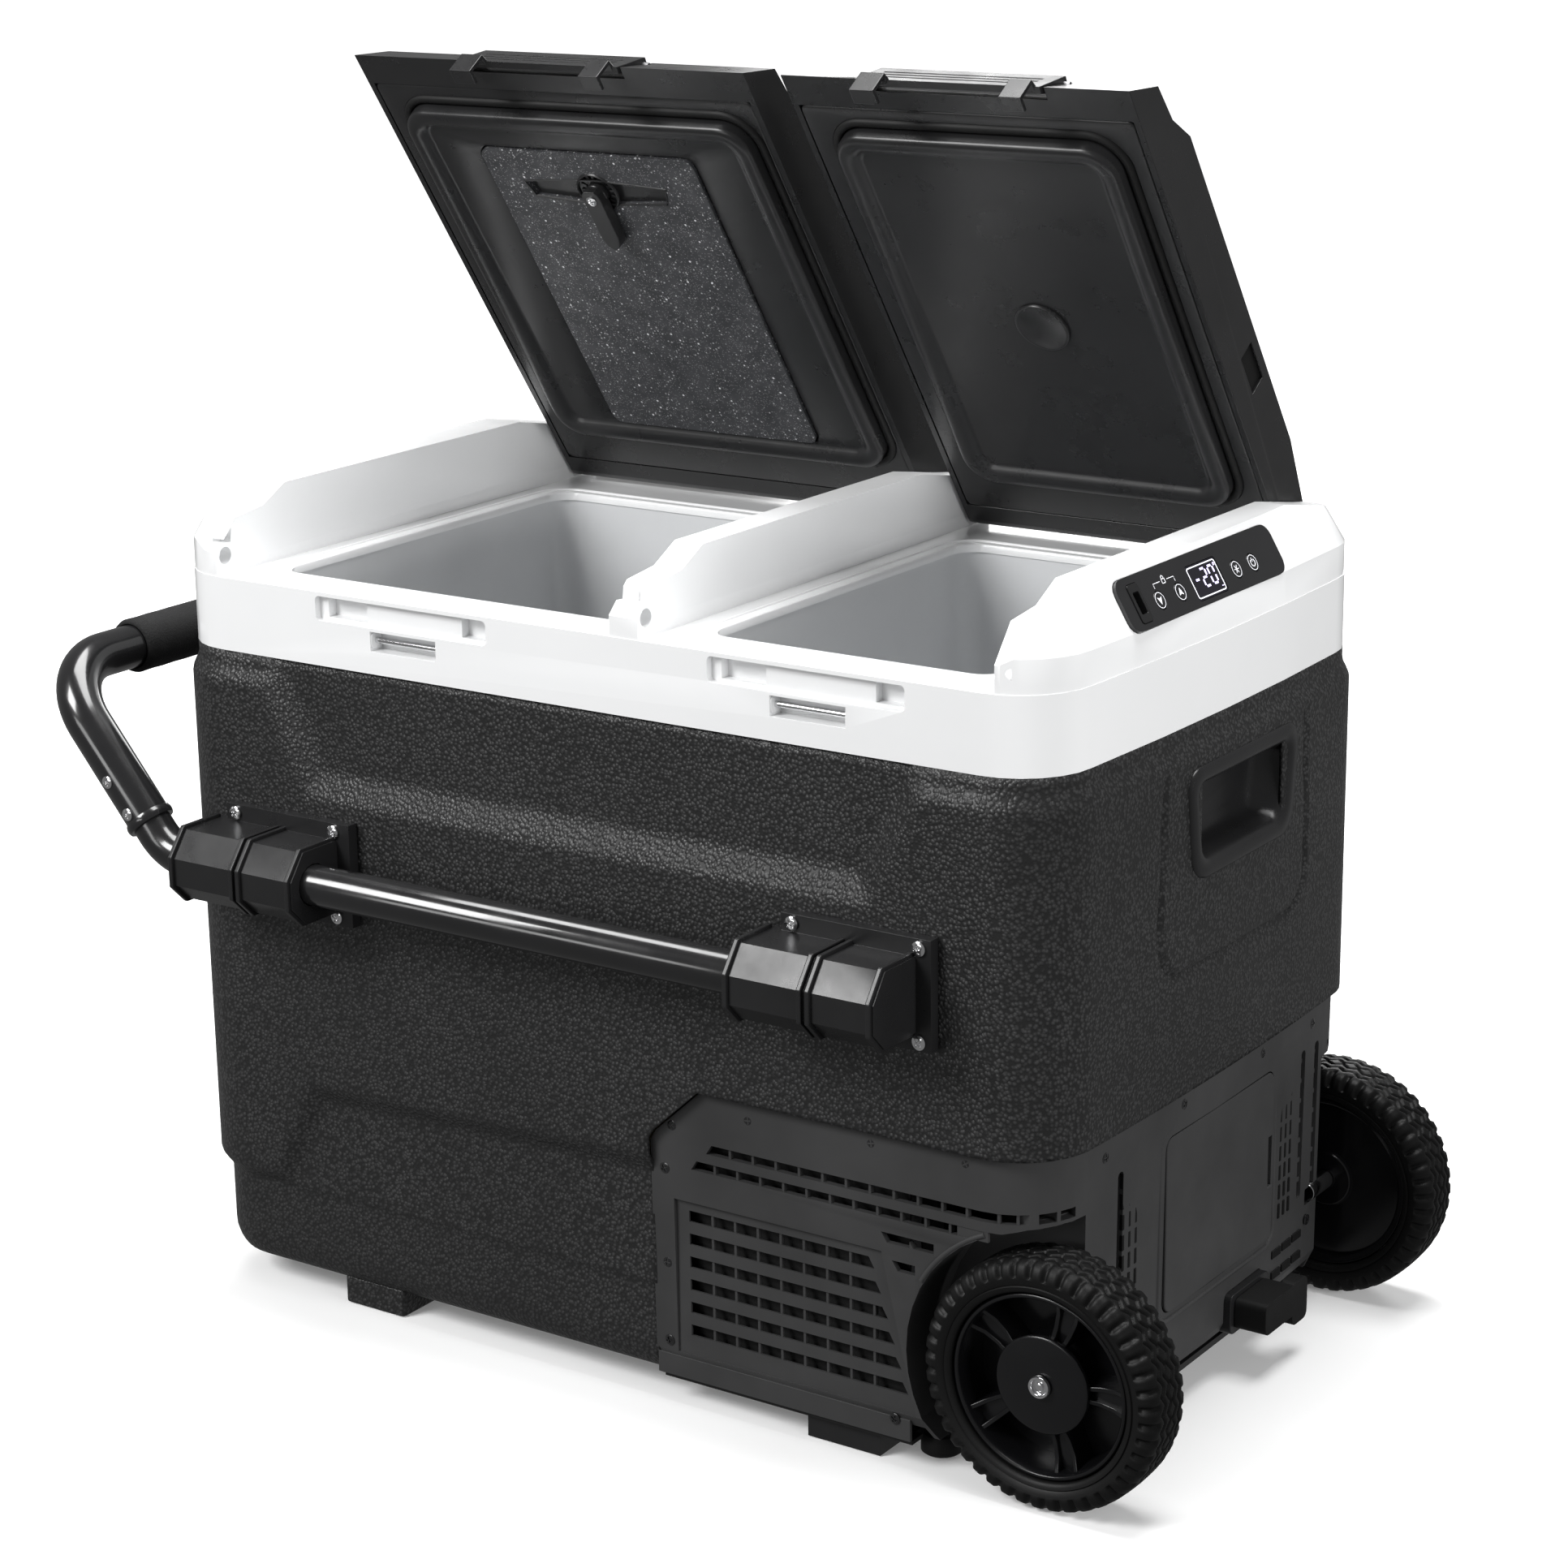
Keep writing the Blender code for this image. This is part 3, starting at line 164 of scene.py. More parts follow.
# ---- materials
class Nodes:
    """Short hand for wiring a material's node tree."""

    def __init__(self, name):
        self.mat = bpy.data.materials.new(name)
        self.mat.use_nodes = True
        self.tree = self.mat.node_tree
        self.shader = self.tree.nodes["Principled BSDF"]
        self.place = self.tree.nodes.new("ShaderNodeTexCoord").outputs["Object"]

    def put(self, socket, value):
        if isinstance(value, bpy.types.NodeSocket):
            self.tree.links.new(value, socket)
        else:
            socket.default_value = value

    def shade(self, **inputs):
        """Set or link inputs of the shader itself."""
        for key, value in inputs.items():
            self.put(self.shader.inputs[key.replace("_", " ")], value)

    def node(self, kind, output, settings=None, **inputs):
        made = self.tree.nodes.new("ShaderNode" + kind)
        for key, value in (settings or {}).items():
            setattr(made, key, value)
        for key, value in inputs.items():
            self.put(made.inputs[key.replace("_", " ")], value)
        return made.outputs[output]

    def noise(self, scale, detail=3, rough=0.5):
        return self.node("TexNoise", "Fac", Vector=self.place, Scale=scale, Detail=detail, Roughness=rough)

    def span(self, value, low, high, to_low=0, to_high=1):
        return self.node("MapRange", "Result", Value=value, From_Min=low, From_Max=high,
                To_Min=to_low, To_Max=to_high)

    def mix(self, factor, first, second):
        made = self.tree.nodes.new("ShaderNodeMix")
        made.data_type = "RGBA"
        for number, value in ((0, factor), (6, first), (7, second)):
            self.put(made.inputs[number], value)
        return made.outputs[2]

    def times(self, first, second):
        made = self.tree.nodes.new("ShaderNodeMath")
        made.operation = "MULTIPLY"
        self.put(made.inputs[0], first)
        self.put(made.inputs[1], second)
        return made.outputs[0]

    def bump(self, height, distance, before=None):
        extra = {} if before is None else {"Normal": before}
        return self.node("Bump", "Normal", Strength=1, Distance=distance * MM, Height=height, **extra)


def rgba(color, gain=1):
    return tuple(min(1, c * gain) for c in color[:3]) + (1,)


def surface(name, color, rough, grain, height, metal=0, shade=0.2, spread=0.07,
        coat=0, wear=None, pebble=None, specular=0.5, patch=9):
    """Moulded, painted or metal surface with grain, tonal variation and worn edges; a pebble grain also gets painted
    shade in its valleys.
    """
    n = Nodes(name)
    broad = n.noise(patch, 4, 0.6)
    tone = n.mix(n.span(broad, 0.3, 0.7), rgba(color, 1 - shade), rgba(color, 1 + shade))
    if wear is not None:
        edge = n.span(n.node("NewGeometry", "Pointiness"), 0.53, 0.66, 0, 0.55)
        scuff = n.span(n.noise(160, 5, 0.7), 0.45, 0.62)
        tone = n.mix(n.times(edge, scuff), tone, rgba(wear))
    normal = n.bump(n.noise(grain, 2), height)
    if pebble:
        size, deep = pebble
        cells = n.node("TexVoronoi", "Distance", {"feature": "SMOOTH_F1"}, Vector=n.place,
                Scale=1000 / size, Smoothness=0.25)
        normal = n.bump(n.span(cells, 0.05, 0.7, 1, 0), deep, normal)
        # Painted shade: the colour darkens to 0.35 of itself in the valleys between the pebbles
        tone = n.mix(n.span(cells, 0.15, 0.6), tone, rgba(color, 0.35))
    gloss = n.span(n.noise(26, 5, 0.65), 0.3, 0.7, max(0.02, rough - spread), rough + spread)
    n.shade(Base_Color=tone, Roughness=gloss, Metallic=metal, Specular_IOR_Level=specular,
            Coat_Weight=coat, Coat_Roughness=0.08, Normal=normal)
    return n.mat


def speckled(name):
    """Dark moulded board with pale speckles of several sizes."""
    n = Nodes(name)
    tone = n.mix(n.span(n.noise(60, 4), 0.3, 0.7), rgba((0.022, 0.023, 0.026)),
            rgba((0.050, 0.051, 0.055)))
    for scale, size, rarity, bright in ((900, 0.42, 0.55, 0.2), (420, 0.3, 0.72, 0.5),
            (210, 0.2, 0.78, 0.8)):
        away = n.node("TexVoronoi", "Distance", Vector=n.place, Scale=scale)
        near = n.span(away, size * 0.6, size, 1, 0)
        chance = n.node("SeparateColor", 0, Color=away.node.outputs["Color"])
        chosen = n.span(chance, rarity, rarity + 0.05)
        tone = n.mix(n.times(near, chosen), tone, (bright, bright, bright * 1.02, 1))
    n.shade(Base_Color=tone, Roughness=n.span(n.noise(200), 0.3, 0.7, 0.42, 0.6),
            Normal=n.bump(n.noise(700, 3), 0.08))
    return n.mat


def glowing(name, color, strength):
    """Mark that gives off light behind the panel's gloss: the display's lit figures, and printed marks given a
    painted glow.
    """
    n = Nodes(name)
    tone = n.mix(n.span(n.noise(500), 0.3, 0.7), rgba(color, 0.9), rgba(color, 1.05))
    n.shade(Base_Color=tone, Emission_Color=rgba(color), Emission_Strength=strength,
            Roughness=n.span(n.noise(300), 0.3, 0.7, 0.25, 0.35))
    return n.mat


SCUFF = (0.07, 0.07, 0.073)
MATS = {
    "body_black": surface("shell_leather_black", (0.042, 0.042, 0.0425), 0.38, 2400, 0.02,
            pebble=(2.3, 0.55), wear=SCUFF, patch=6, specular=0.34),
    "trim_black": surface("satin_black", (0.013, 0.013, 0.0135), 0.30, 1500, 0.012, specular=0.42),
    "frame_white": surface("glossy_white", (0.86, 0.865, 0.87), 0.2, 700, 0.004, shade=0.015, spread=0.04, coat=0.25),
    "liner_plastic": surface("liner_grey", (0.66, 0.67, 0.68), 0.35, 900, 0.01, shade=0.04),
    "insulation": surface("foam_cream", (0.72, 0.63, 0.40), 0.9, 320, 0.5, shade=0.12),
    "gasket_rubber": surface("gasket_rubber", (0.006, 0.006, 0.006), 0.6, 1600, 0.02, specular=0.3),
    "grip_foam": surface("grip_foam", (0.009, 0.009, 0.0095), 0.8, 1900, 0.22, pebble=(1.1, 0.18),
            shade=0.25, specular=0.35),
    "tube_black": surface("tube_lacquer", (0.009, 0.009, 0.0095), 0.2, 900, 0.006, coat=0.5),
    "chrome": surface("bright_chrome", (0.74, 0.74, 0.75), 0.14, 800, 0.006, metal=1, shade=0.06, spread=0.05),
    "steel": surface("turned_steel", (0.42, 0.42, 0.43), 0.34, 1200, 0.01, metal=1),
    "pot_black": surface("pot_enamel", (0.015, 0.015, 0.015), 0.3, 500, 0.05),
    "coil_aluminium": surface("fin_aluminium", (0.58, 0.58, 0.6), 0.38, 900, 0.05, metal=1),
    "speckled_board": speckled("granite_board"),
    "panel_gloss": surface("panel_gloss", (0.012, 0.012, 0.013), 0.32, 500, 0.002, spread=0.03, coat=0.4),
    "display_glass": surface("display_glass", (0.006, 0.005, 0.011), 0.06, 500, 0.001, spread=0.02, coat=0.4),
    "circuit_green": surface("circuit_green", (0.02, 0.16, 0.07), 0.4, 700, 0.05),
    "tyre_black": surface("tyre_rubber", (0.0035, 0.0035, 0.0035), 0.5, 900, 0.05,
            wear=(0.022, 0.022, 0.022), specular=0.24),
    "hub_black": surface("hub_black", (0.004, 0.004, 0.0045), 0.22, 1200, 0.012, specular=0.42),
}
COVER = surface("cover_satin", (0.042, 0.042, 0.0425), 0.45, 1900, 0.02, specular=0.35)
# Near-black for painted shade: put on the end grooves, the backs of the vents and the lid pocket's back, where there
# is only shadow
PAINTED_SHADE = surface("shadow_black", (0.003, 0.003, 0.003), 0.7, 900, 0.01)
# Painted light: the printed marks, the display border and the button and lock marks glow, though they are only print
GLOWING_PRINT = glowing("panel_print_glow", (0.85, 0.86, 0.90), 0.55)
DIGIT = glowing("display_digits", (0.72, 0.66, 1), 1.4)


# ---- shapes
def face_out(bm):
    bmesh.ops.recalc_face_normals(bm, faces=bm.faces)


def weld(bm, distance):
    bmesh.ops.remove_doubles(bm, verts=bm.verts, dist=distance)


def polar(radius, turn):
    return radius * cos(turn), radius * sin(turn)


def turns(steps):
    return [2 * pi * i / steps for i in range(steps)]


def loft(rings, closed=True, around=False):
    """Solid through rings with the same number of points; around joins the last to the first."""
    bm = bmesh.new()
    rows = [[bm.verts.new(p) for p in ring] for ring in rings]
    count = len(rows[0])
    for low, high in zip(rows, rows[1:] + rows[:1] if around else rows[1:]):
        for i in range(count):
            j = (i + 1) % count
            bm.faces.new((low[i], low[j], high[j], high[i]))
    if closed and not around:
        bm.faces.new(rows[0])
        bm.faces.new(rows[-1])
    return bm


def placed(axis, u, v, w):
    return {"X": (w, u, v), "Y": (u, w, v), "Z": (u, v, w)}[axis]


def prism(points, axis, low, high):
    return loft([[placed(axis, u, v, w) for u, v in points] for w in (low, high)])


def box(low, high):
    (x0, y0, z0), (x1, y1, z1) = low, high
    return prism([(x0, y0), (x1, y0), (x1, y1), (x0, y1)], "Z", z0, z1)


def side_prism(side, points, inner, outer):
    """Prism of (x, z) points between two distances from the middle, on the front (-1) or rear (1) side."""
    return prism(points, "Y", *sorted((side * inner, side * outer)))


def side_box(side, x0, x1, inner, outer, z0, z1):
    y0, y1 = sorted((side * inner, side * outer))
    return box((x0, y0, z0), (x1, y1, z1))


def circle(radius, steps, center=(0, 0)):
    return [(center[0] + u, center[1] + v) for u, v in (polar(radius, a) for a in turns(steps))]


def cylinder(axis, center, radius, low, high, steps=32):
    return prism(circle(radius, steps, center), axis, low, high)


def rounded(x0, x1, y0, y1, radius, steps=8):
    points = []
    for cx, cy, start in ((x1 - radius, y0 + radius, -90), (x1 - radius, y1 - radius, 0),
            (x0 + radius, y1 - radius, 90), (x0 + radius, y0 + radius, 180)):
        for i in range(steps + 1):
            u, v = polar(radius, radians(start + 90 * i / steps))
            points.append((cx + u, cy + v))
    return points


def grown(rect, grow, radius, z):
    """Rounded outline at height z round a rectangle (x0, x1, y0, y1) that is grown on all sides."""
    x0, x1, y0, y1 = rect
    return level_ring(x0 - grow, x1 + grow, y0 - grow, y1 + grow, radius, z)


def level_ring(x0, x1, y0, y1, radius, z):
    return [(x, y, z) for x, y in rounded(x0, x1, y0, y1, radius, 10)]


def turned(profile, steps=64, axis="Y"):
    """Solid of revolution. profile is a loop of (radius, height) points."""
    bm = loft([[placed(axis, *polar(r, a), w) for r, w in profile] for a in turns(steps)], around=True)
    weld(bm, 1e-4)
    return bm


def rings_about(points, radius, steps):
    """Circles across a path, of one radius or a list of them."""
    points = [Vector(p) for p in points]
    rings, normal = [], None
    for i, point in enumerate(points):
        tangent = (points[min(i + 1, len(points) - 1)] - points[max(i - 1, 0)]).normalized()
        if normal is None:
            normal = tangent.orthogonal().normalized()
        normal = (normal - tangent * normal.dot(tangent)).normalized()
        side = tangent.cross(normal)
        size = radius[i] if isinstance(radius, list) else radius
        rings.append([point + (normal * cos(a) + side * sin(a)) * size for a in turns(steps)])
    return rings


def sweep(points, radius, steps=24):
    return loft(rings_about(points, radius, steps))


def looped(points, section, up=(0, 0, 1)):
    """Closed band along a closed path. section is a loop of (outward, up) offsets."""
    path = [Vector(p) for p in points]
    up = Vector(up)
    rings = []
    for i, point in enumerate(path):
        out = (path[(i + 1) % len(path)] - path[i - 1]).normalized().cross(up)
        rings.append([point + out * u + up * v for u, v in section])
    return loft(rings, around=True)


def bend(corner, before, after, radius, steps):
    """Points of the arc that rounds a corner of a path."""
    corner, before, after = Vector(corner), Vector(before), Vector(after)
    a, b = (before - corner).normalized(), (after - corner).normalized()
    half = a.angle(b) / 2
    start, end = corner + a * radius / tan(half), corner + b * radius / tan(half)
    center = corner + (a + b).normalized() * radius / sin(half)
    spin = pi - 2 * half
    return [center + ((start - center) * sin((1 - i / steps) * spin)
            + (end - center) * sin(i / steps * spin)) / sin(spin)
            for i in range(steps + 1)]


def join(*parts):
    whole = bmesh.new()
    for part in parts:
        mesh = bpy.data.meshes.new("part")
        part.to_mesh(mesh)
        part.free()
        whole.from_mesh(mesh)
        bpy.data.meshes.remove(mesh)
    return whole


def moved(bm, matrix):
    bm.transform(matrix)
    return bm


def ramp(value, low, high):
    return min(1, max(0, (value - low) / (high - low)))


def smooth_step(value, low, high):
    t = ramp(value, low, high)
    return t * t * (3 - 2 * t)


# ---- making pieces
def dress(obj, slot, mat, body, replaces):
    obj.data.materials.clear()
    obj.data.materials.append(mat or MATS[slot])
    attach(obj, body)
    if replaces:
        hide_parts(*replaces)
    return obj


def soften(obj, width, steps=2, angle=30):
    mod = obj.modifiers.new("edges", "BEVEL")
    mod.width, mod.segments = width * MM, steps
    mod.limit_method, mod.angle_limit = "ANGLE", radians(angle)
    mod.harden_normals = True


def shade(mesh, sharp):
    mesh.shade_smooth()
    mesh.set_sharp_from_angle(angle=radians(sharp))


def link_mesh(name, bm, sharp):
    mesh = bpy.data.meshes.new(name)
    bm.to_mesh(mesh)
    bm.free()
    shade(mesh, sharp)
    return linked(name, mesh)


def carve(obj, cuts, place, sharp):
    """Take each cutter, a millimetre bmesh, out of the object's mesh."""
    for cut in cuts:
        face_out(cut)
        cut.transform(place)
        tool = link_mesh("cutter", cut, SHARP)
        mod = obj.modifiers.new("cut", "BOOLEAN")
        mod.operation, mod.object, mod.solver = "DIFFERENCE", tool, "EXACT"
        mesh = bpy.data.meshes.new_from_object(obj.evaluated_get(bpy.context.evaluated_depsgraph_get()))
        obj.modifiers.clear()
        obj.data = mesh
        bpy.data.objects.remove(tool, do_unlink=True)
        shade(mesh, sharp)


def piece(name, bm, slot="trim_black", body="cabinet", at=Matrix(), edge=0, steps=2, sharp=SHARP,
          replaces=(), mat=None, cuts=()):
    """Make a visible piece from a millimetre bmesh; cuts are bmeshes taken out of it."""
    place = WORLD @ at
    face_out(bm)
    bm.transform(place)
    obj = link_mesh(name, bm, sharp)
    carve(obj, cuts, place, sharp)
    if edge:
        soften(obj, edge, steps)
    return dress(obj, slot, mat, body, replaces)


def stand_in(node, bm, *rest, **options):
    """A piece drawn in place of a CAD node, in the node's own slot."""
    return piece("fine_" + node, bm, SLOT_OF[node], *rest, replaces=(node,), **options)


def hollow(obj, thickness):
    wall = obj.modifiers.new("wall", "SOLIDIFY")
    wall.thickness, wall.offset = thickness * MM, -1


def refined(node, edge, steps=2, body="cabinet", mat=None, change=None, angle=30, cuts=()):
    """A copy of a CAD node with flats merged and its edges rounded, standing for the node."""
    bm = bmesh.new()
    bm.from_mesh(NODES[node].data)
    weld(bm, 2e-6)
    if change:
        for vert in bm.verts:
            vert.co = change(vert.co)
    bmesh.ops.dissolve_limit(bm, angle_limit=radians(1), verts=bm.verts, edges=bm.edges)
    obj = link_mesh("fine_" + node, bm, SHARP)
    carve(obj, cuts, WORLD, SHARP)
    soften(obj, edge, steps, angle)
    return dress(obj, SLOT_OF[node], mat, body, (node,))


# ---- insulated body
def line_side(p, a, b):
    """Distance of p to the right of the line from a to b."""
    dx, dz = b[0] - a[0], b[1] - a[1]
    return ((p[0] - a[0]) * dz - (p[1] - a[1]) * dx) / hypot(dx, dz)


def face_recess(x, z):
    """Depth of the two soft recesses of the front and rear faces."""
    across = min(z - 337, line_side((x, z), (-204, 337), (-238, 409)),
            -line_side((x, z), (204, 337), (238, 409)))
    below = min(line_side((x, z), (-246, 84), (-212, 149)), line_side((x, z), (-212, 149), (60, 158)))
    return max(UPPER_DEPTH * ramp(across, 0, UPPER_SLOPE), LOWER_DEPTH * ramp(below, 0, LOWER_SLOPE))


def end_groove(y, z):
    """Depth of the U-shaped groove pressed round each hand pocket."""
    u, v = abs(y - 10) - 93 + 30 + 0.05 * (z - 277), 307 - z
    gap = hypot(max(u, 0), max(v, 0)) + min(max(u, v), 0) - 30
    return 2.2 * (1 - smooth_step(abs(gap), 0.8, 3.2)) if z < 402 else 0


def bow(y):
    """How far an end face bulges at y."""
    return END_BOW * (1 - (y / CORNER_Y) ** 2)


def end_x(y):
    """X of the cover's right end at y."""
    return BODY_HX + bow(y) - 7


def body_columns():
    """Plan positions round the body: kind of face, side, place along it, and front or rear."""
    flat = {round(CORNER_X * (i / 68 - 1), 3) for i in range(137)} | {BAY_X, 50, SLANT_X}
    columns, ends = [], 108
    for side in (1, -1):
        columns += [("arc", side, 9 * i - 90, -1) for i in range(11)]
        columns += [("end", side, CORNER_Y * (2 * i / ends - 1), 0) for i in range(1, ends)]
        columns += [("arc", side, 9 * i, 1) for i in range(11)]
        columns += [("flat", side, side * x, side) for x in sorted(flat, reverse=True)[1:-1]]
    return columns


def shell_point(column, inset, z):
    kind, side, at, half = column
    if kind == "flat":
        return at, half * (BODY_HY - max(inset, face_recess(at, z))), z
    if kind == "end":
        return side * (BODY_HX + bow(at) - inset - end_groove(side * at, z)), side * at, z
    u, v = polar(BODY_R - inset, radians(at))
    return side * (CORNER_X + u), side * (half * CORNER_Y + v), z


def bay_edge_z(x):
    (x0, z0), (x1, z1), (x2, z2) = BAY_SLANT
    if x < x1:
        return z0 + (z1 - z0) * (x - x0) / (x1 - x0)
    return z1 + (z2 - z1) * min(1, (x - x1) / (x2 - x1))


def fine_shell():
    rows = [(18, 16), (15.6, 16.6), (13, 18.4), (11, 21), (9, 25), (7.4, 30), (7, 36)]
    rows += [(7, 36 + 36 * i / 9) for i in range(1, 10)]
    rows += [(7 * (1 - smooth_step(i, 0, 8)), 72 + 14 * i / 8) for i in range(1, 9)]
    rows += [(0, z) for z in sorted({166, 173, 204} | {round(86 + 316 * i / 92, 3) for i in range(1, 93)})]
    rows += [(0.5, 404.5), (1.6, 407), (3, 409.6), (4, 412), (4.5, 415), (4.5, Z_SEAM)]
    columns = body_columns()
    bm = bmesh.new()
    grid = []
    for inset, z in rows:
        line = []
        for column in columns:
            x, y, height = shell_point(column, inset, z)
            if column[0] == "flat" and BAY_X < x < SLANT_X + 0.01 and SLANT_Z <= z <= BAY_Z:
                low = bay_edge_z(x)
                height = low + (BAY_Z - low) * (z - SLANT_Z) / (BAY_Z - SLANT_Z)
            line.append(bm.verts.new((x, y, height)))
        grid.append(line)
    for (_, z0), (_, z1), low, high in zip(rows, rows[1:], grid, grid[1:]):
        z = (z0 + z1) / 2
        for a, b, c, d in zip(low, low[1:] + low[:1], high[1:] + high[:1], high):
            x, y = (c.co.x + d.co.x) / 2, (c.co.y + d.co.y) / 2
            bay = z < BAY_Z and x > BAY_X and not (z > SLANT_Z and x < SLANT_X)
            pocket = abs(x) > 300 and abs(y - POCKET_Y) < 51 and abs(z - POCKET_Z) < 25
            if not bay and not pocket:
                bm.faces.new((a, b, c, d))
    under = [v for v in grid[0] if v.co.x <= BAY_X + 0.01]
    bm.faces.new(sorted(under, key=lambda v: atan2(v.co.y, v.co.x + 130)))
    bmesh.ops.delete(bm, geom=[v for v in bm.verts if not v.link_faces], context="VERTS")
    weld(bm, 0.01)
    hollow(stand_in("outer_shell", bm), 2.4)
    feet = []
    for side in SIDES:
        feet += [prism(rounded(-204, -156, side * 167 - 17, side * 167 + 17, 3), "Z", 0, 18),
                box((-200, side * 167 - 12, 0), (-196, side * 167 + 12, 20))]
    piece("left_feet", join(*feet), "body_black", edge=1.2)


def shrunk_foam():
    limit = 183 * MM
    refined("insulation_foam", 0.2, 1,
            change=lambda co: Vector((co.x, max(-limit, min(limit, co.y)), co.z)))


def hand_pocket(name, side):
    """Moulded pocket with a raised surround and a lip for the fingers."""
    rings = []
    for depth, y0, y1, z0, z1, radius, lean in (
            (2, -50, 82, 329, 397, 15, 8), (-1, -49.5, 81.5, 329.5, 396.5, 15, 8),
            (-2.2, -48, 80, 331, 395, 14, 8), (-2.2, -42, 74, 336, 390, 12, 8),
            (-1.4, -40, 72, 338, 388, 11, 8), (0.5, -38, 70, 339.5, 386, 10, 8),
            (4, -36, 68, 341, 384, 10, 8), (18, -34, 66, 343, 382, 9, 6),
            (21.5, -30, 62, 347, 379, 8, 4), (23, -22, 54, 352, 374, 6, 2)):
        ring = []
        for y, z in rounded(y0, y1, z0, z1, radius, 6):
            y += lean * (z - (z0 + z1) / 2) / (z1 - z0) * (1 if y > (y0 + y1) / 2 else -1)
            ring.append((side * (BODY_HX + bow(y) - depth), y, z))
        rings.append(ring)
    bm = loft(rings, False)
    bm.verts.ensure_lookup_table()
    bm.faces.new(bm.verts[-len(rings[-1]):])
    hollow(stand_in(name, bm, sharp=50), 1.2)


def tub_ring(tub, inset, radius, z):
    return grown((*TUBS[tub][:2], *TUB_Y), -inset, radius, z)


def fine_tub(tub):
    """Tub liner with round corners, a filleted floor and a drain in it."""
    x0, x1, floor = TUBS[tub]
    top, inner = Z_TOP - 5.3, ROUND_TUB - 2
    rings = [tub_ring(tub, 0, ROUND_TUB, floor), tub_ring(tub, 0, ROUND_TUB, top), tub_ring(tub, 2, inner, top)]
    rings += [tub_ring(tub, 2 + 0.008 * (top - z), inner, z) for z in (floor + 60, floor + 24)]
    for i in range(1, 7):
        u, v = polar(14, radians(15 * i))
        rings.append(tub_ring(tub, 19 - u, inner - 1.2 * i, floor + 16 - v))
    drain = turned([(0, 2.4), (9, 2.4), (10.5, 3.6), (12.5, 3.6), (13, 2.4), (13, 1), (0, 1)], 40, "Z")
    drain = moved(drain, shift((x0 + x1) / 2, 60, floor))
    stand_in(tub + "_tub_liner", join(loft(rings), drain), sharp=40)


# ---- screws
def facing(normal, at, degrees=0):
    """Matrix that puts a part drawn facing +Z at a place, facing along normal."""
    turn = Vector(normal).to_track_quat("Z", "Y").to_matrix().to_4x4()
    return shift(*at) @ turn @ rotate(degrees, "Z")


def screw_head(radius, height, *place):
    """Round head with a cross recess, put at the place that facing() takes."""
    rings = []
    for band in (0, 0.12, 0.24, 0.3, 0.45, 0.6, 0.66, 0.8, 0.92, 1):
        ring = []
        for x, y in circle(radius * band, 48):
            z = height * (1 - 0.45 * band ** 3)
            if band < 0.63 and min(abs(x), abs(y)) < 0.1364 * radius:
                z -= 0.9 * (1 - 0.3 * band)
            ring.append((x, y, z))
        rings.append(ring)
    bm = loft(rings + [[(x, y, 0) for x, y, _ in rings[-1]]], False)
    weld(bm, 1e-4)
    return moved(bm, facing(*place))


# ---- top frame
def fine_frame():
    refined("top_frame", 1.5, 3, angle=28)
    for tub in ENDS:
        x0, x1, _ = TUBS[tub]
        path = level_ring(x0 - 6, x1 + 6, TUB_Y[0] - 4, TUB_Y[1] + 5, 22, Z_TOP - 0.1)
        ridge = looped(path, [(-1.5, 0), (-1.1, 0.8), (-0.4, 1.2), (0.4, 1.2), (1.1, 0.8), (1.5, 0), (0, -0.6)])
        piece(f"{tub}_rim_line", ridge, "frame_white", sharp=60)
        # A ring that rounds the corners of the frame's opening
        low, top = Z_TOP - 5.2, Z_TOP - 0.15
        rings = [(1.5, 3.5, low), (1.5, 3.5, top), (2.4, 16, top), (2.9, 16, top - 0.5), (2.9, 16, low),
                (1.5, 3.5, low)]
        bm = loft([tub_ring(tub, *ring) for ring in rings], False)
        weld(bm, 0.001)
        piece(f"{tub}_opening_ring", bm, "frame_white", sharp=50)
    for side, middle in LATCH_X.items():
        fine_latch_area(side, middle)


def fine_latch_area(side, middle):
    """Lugs moulded in the latch recess, and the rod between them that the hooks catch on."""
    lugs = [prism(rounded(-192, -182.5, 436, 446, 2.5), "X", middle + x0, middle + x1)
            for x0, x1 in ((-27.5, -24.2), (24.2, 27.5))]
    piece(f"{side}_rod_lugs", join(*lugs), "frame_white", edge=0.6)
    rod = turned([(0, -27.5), (1.7, -27.5), (2, -27.2), (2, 27.2), (1.7, 27.5), (0, 27.5)], 24, "X")
    stand_in(f"{side}_striker_rod", moved(rod, shift(middle, -187, 441)))


